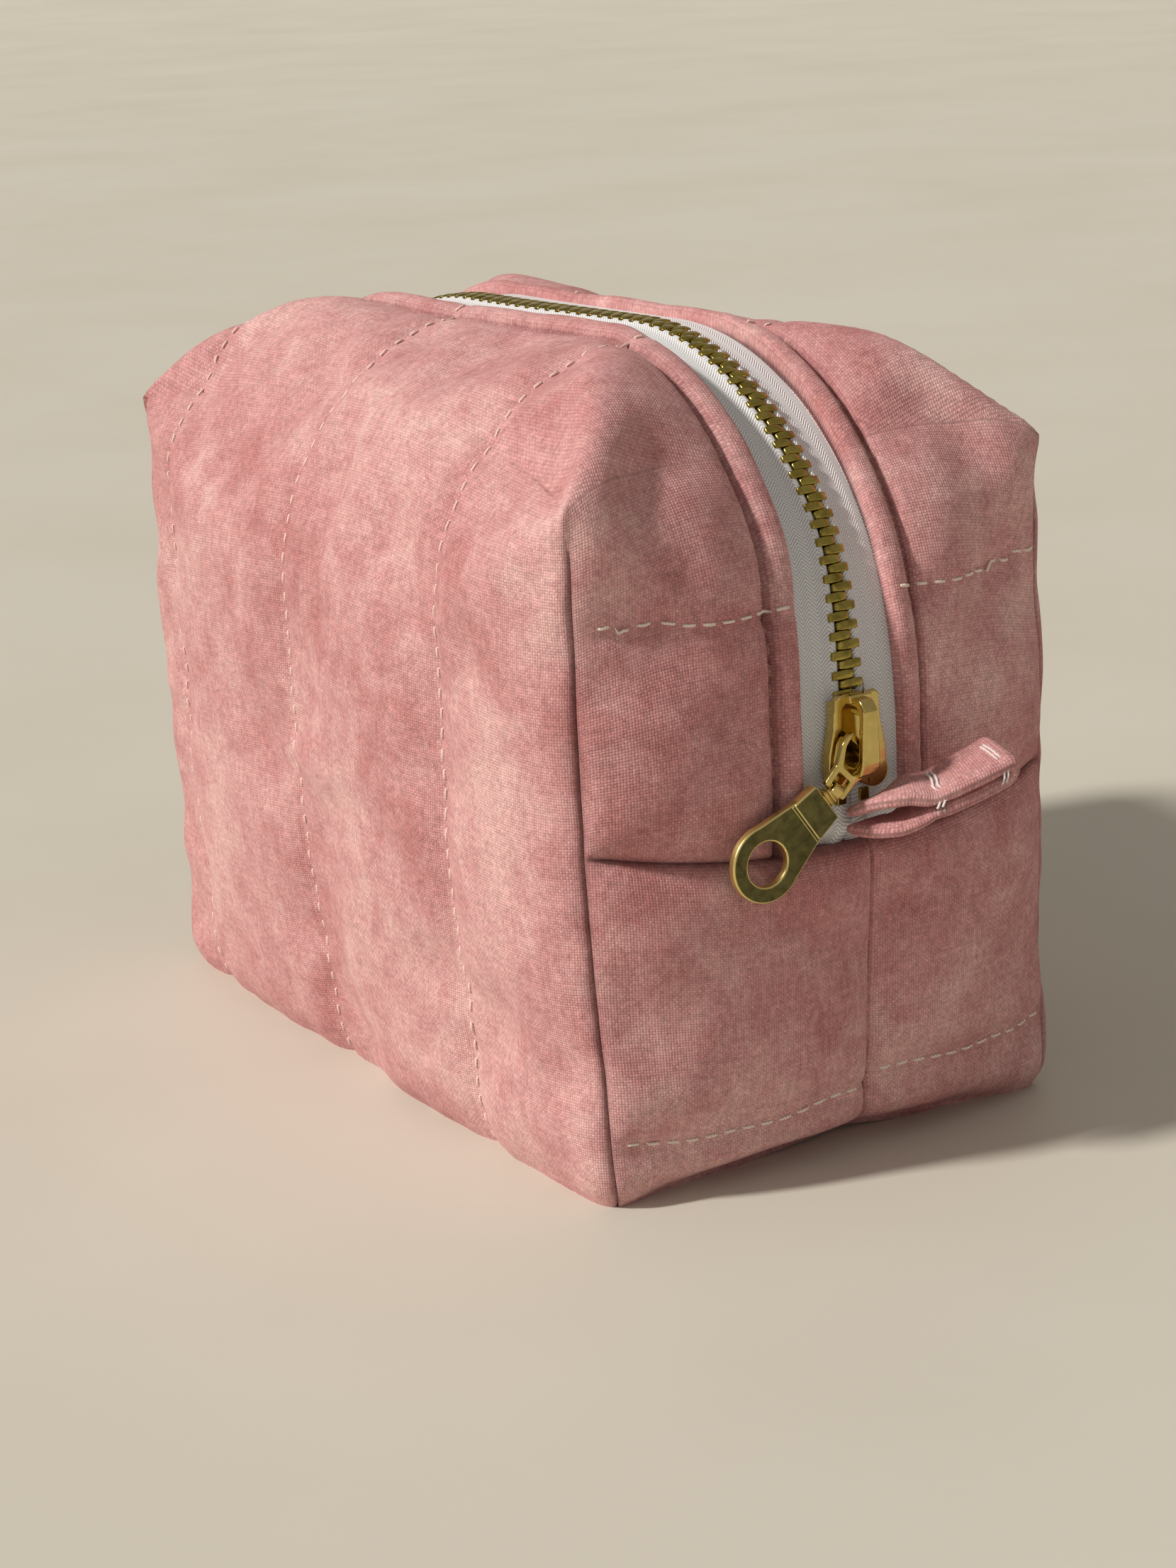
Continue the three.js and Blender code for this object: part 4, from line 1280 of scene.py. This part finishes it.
def top_line(side, x):
    """Line over the top and down the long side at one x, from the zip to the floor."""
    along = abs(x) / HALF_LENGTH
    width = half_width(along, SEAM_HEIGHT)
    roll = shoulder(along)
    total = width - roll + roll * math.pi / 4
    run = np.linspace(FABRIC_EDGE + 0.6, total, 40)
    turn = np.maximum(run - (width - roll), 0) / roll
    y = np.where(turn > 0, width - roll + roll * np.sin(turn), run)
    half, top, bend = outline(run / total)
    inside = np.maximum(abs(x) - (half - bend), 0)
    z = top - bend + np.sqrt(bend**2 - inside**2) + rise(run / total, x, half)
    z -= roll * (1 - np.cos(turn))
    low = np.linspace(z[-1], 1.5, 90)[1:]
    lean = np.arcsin(np.clip((low - over_top(1.0, along)[1] + roll) / roll, 0, 1))
    wall = half_width(along, np.minimum(low, SEAM_HEIGHT))
    y = np.r_[y, np.where(low < 66, wall, width - roll * (1 - np.cos(lean)))]
    return np.stack([np.full(len(y), x), side * y, np.r_[z, low]], axis=1)


def end_line(side, way, height):
    """Line across an end at a quilting line's height, from the zip or the bottom seam outwards."""
    above = height > SEAM_HEIGHT
    start = FABRIC_EDGE + 0.6 if above else side * BOTTOM_SEAM_Y + 1
    y = np.linspace(start, HALF_WIDTH - 0.8, 40)
    z = line_height(height, y)
    across = y / HALF_WIDTH
    if above:
        half, top, bend = outline(across)
        up = np.maximum(z - (top - bend), 0)
        x = half - bend + np.sqrt(np.maximum(bend**2 - up**2, 0))
    else:
        x = lower_end(across, z)
    return np.stack([way * x, side * y, z], axis=1)


for name, side in SIDES.items():
    tree = skins[name]
    quilting, faint, edging = Threads(), Threads(), Threads()
    for x in QUILT_X:
        sew(faint, tree, sway(top_line(side, x)), 2.0, 0.23, 0.17)
    for way in (-1, 1):
        for height in END_LINES[side, way]:
            sew(quilting, tree, sway(end_line(side, way, height)), 2.5, 0.23, 0.14)
    sew(edging, tree, stitch_lines[name], 2.2, 0.2, 0.06)
    for threads, label, material in ((quilting, "quilting", CREAM), (faint, "quilting_long", PALE),
                                     (edging, "topstitch", ROSE)):
        bend_with_mouth(threads.made(f"{label}_{name}", material))

bars = Threads()
BAR_TURNS = np.linspace(-0.5, math.pi + 0.5, 16)  # round the strip
for runs, (wander, rate), rise_by, radius in (((10.8, 11.5), (0.25, 9), 2.35, 0.2),
                                              ((20.3, 20.9), (0.2, 7), 2.3, 0.17)):
    for run in runs:
        band = [tab_point(run + wander * math.sin(rate * k), TAB_WIDTH / 2 * math.cos(t) * 1.03,
                          rise_by * math.sin(t)) for k, t in enumerate(BAR_TURNS)]
        bars.add(band, Vector((0, 0, 1)), radius)
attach(bars.made("tab_bars", SNOW), "tab")

for name in SIDES:
    for label in ("panel", "inner"):
        bend_with_mouth(bpy.data.objects[f"{label}_{name}"])

# Stage, camera, light
VIEW_AWAY = Vector((-0.862, 0.506))  # from the camera, level
FLOOR_HALF = 6000
FLOOR_PROFILE = [(-4000, 0), (4000, 0), (5500, 100), (6600, 600), (7100, 1600), (7200, 5000)]


def floor():
    """A level surface that rises softly behind the bag."""
    points, faces = [], []
    for n, (far, height) in enumerate(FLOOR_PROFILE):
        for across in (-FLOOR_HALF, FLOOR_HALF):
            p = VIEW_AWAY * far + Vector((VIEW_AWAY.y, -VIEW_AWAY.x)) * across
            points.append((p.x, p.y, height))
        if n:
            faces.append([2 * n - 2, 2 * n - 1, 2 * n + 1, 2 * n])
    obj = make_mesh("floor", points, faces)
    face_out(obj)
    bend = obj.modifiers.new("smooth", "SUBSURF")
    bend.levels = bend.render_levels = 3
    n = Nodes("floor")
    place = n.add("TexCoord").outputs["Object"]
    cloudy = n.noise(place, 6, 4)
    color = n.ramp(cloudy, [(0.3, srgb(206, 201, 188)), (0.7, srgb(213, 209, 197))])
    obj.data.materials.append(n.finish(Base_Color=color, Roughness=0.55))


def area(name, location, target, size, power, color):
    light = bpy.data.lights.new(name, "AREA")
    light.shape = "DISK"
    light.size = size
    light.energy = power
    light.color = color
    obj = linked(name, light)
    obj.location = location
    obj.rotation_euler = (Vector(target) - Vector(location)).to_track_quat("-Z", "Y").to_euler()


CAMERA_PLACE = (0.4502, -0.2604, 0.1937)
CAMERA_AXES = (0.5161, 0.8551, -0.05), (-0.2113, 0.1836, 0.9601), (0.8301, -0.4849, 0.2754)
CAMERA_LENS, SENSOR_WIDTH = 71.6, 36


def camera():
    data = bpy.data.cameras.new("camera")
    data.lens = CAMERA_LENS
    data.sensor_width = SENSOR_WIDTH
    data.clip_start = 0.01
    obj = linked("camera", data)
    turn = Matrix(CAMERA_AXES).transposed().to_4x4()
    obj.matrix_world = Matrix.Translation(CAMERA_PLACE) @ turn
    bpy.context.scene.camera = obj


SUN_ENERGY, SUN_ANGLE = 3.1, math.radians(6)
SUN_COLOR = (1.0, 0.95, 0.89)
SUN_WAY = Vector((0.19, 0.74, -0.643))
SKY_COLOR, SKY_STRENGTH = (1.0, 0.95, 0.87, 1), 0.3

floor()
camera()
sun = bpy.data.lights.new("key", "SUN")
sun.energy, sun.color, sun.angle = SUN_ENERGY, SUN_COLOR, SUN_ANGLE
linked("key", sun).rotation_euler = SUN_WAY.to_track_quat("-Z", "Y").to_euler()
area("fill", (1.0, -0.35, 0.5), (0, 0, 0.06), 0.8, 0.3, (1.0, 0.94, 0.88))
world = bpy.data.worlds.new("studio")
world.use_nodes = True
sky = world.node_tree.nodes["Background"]
sky.inputs["Color"].default_value = SKY_COLOR
sky.inputs["Strength"].default_value = SKY_STRENGTH
bpy.context.scene.world = world
bpy.context.scene.view_settings.view_transform = "Standard"
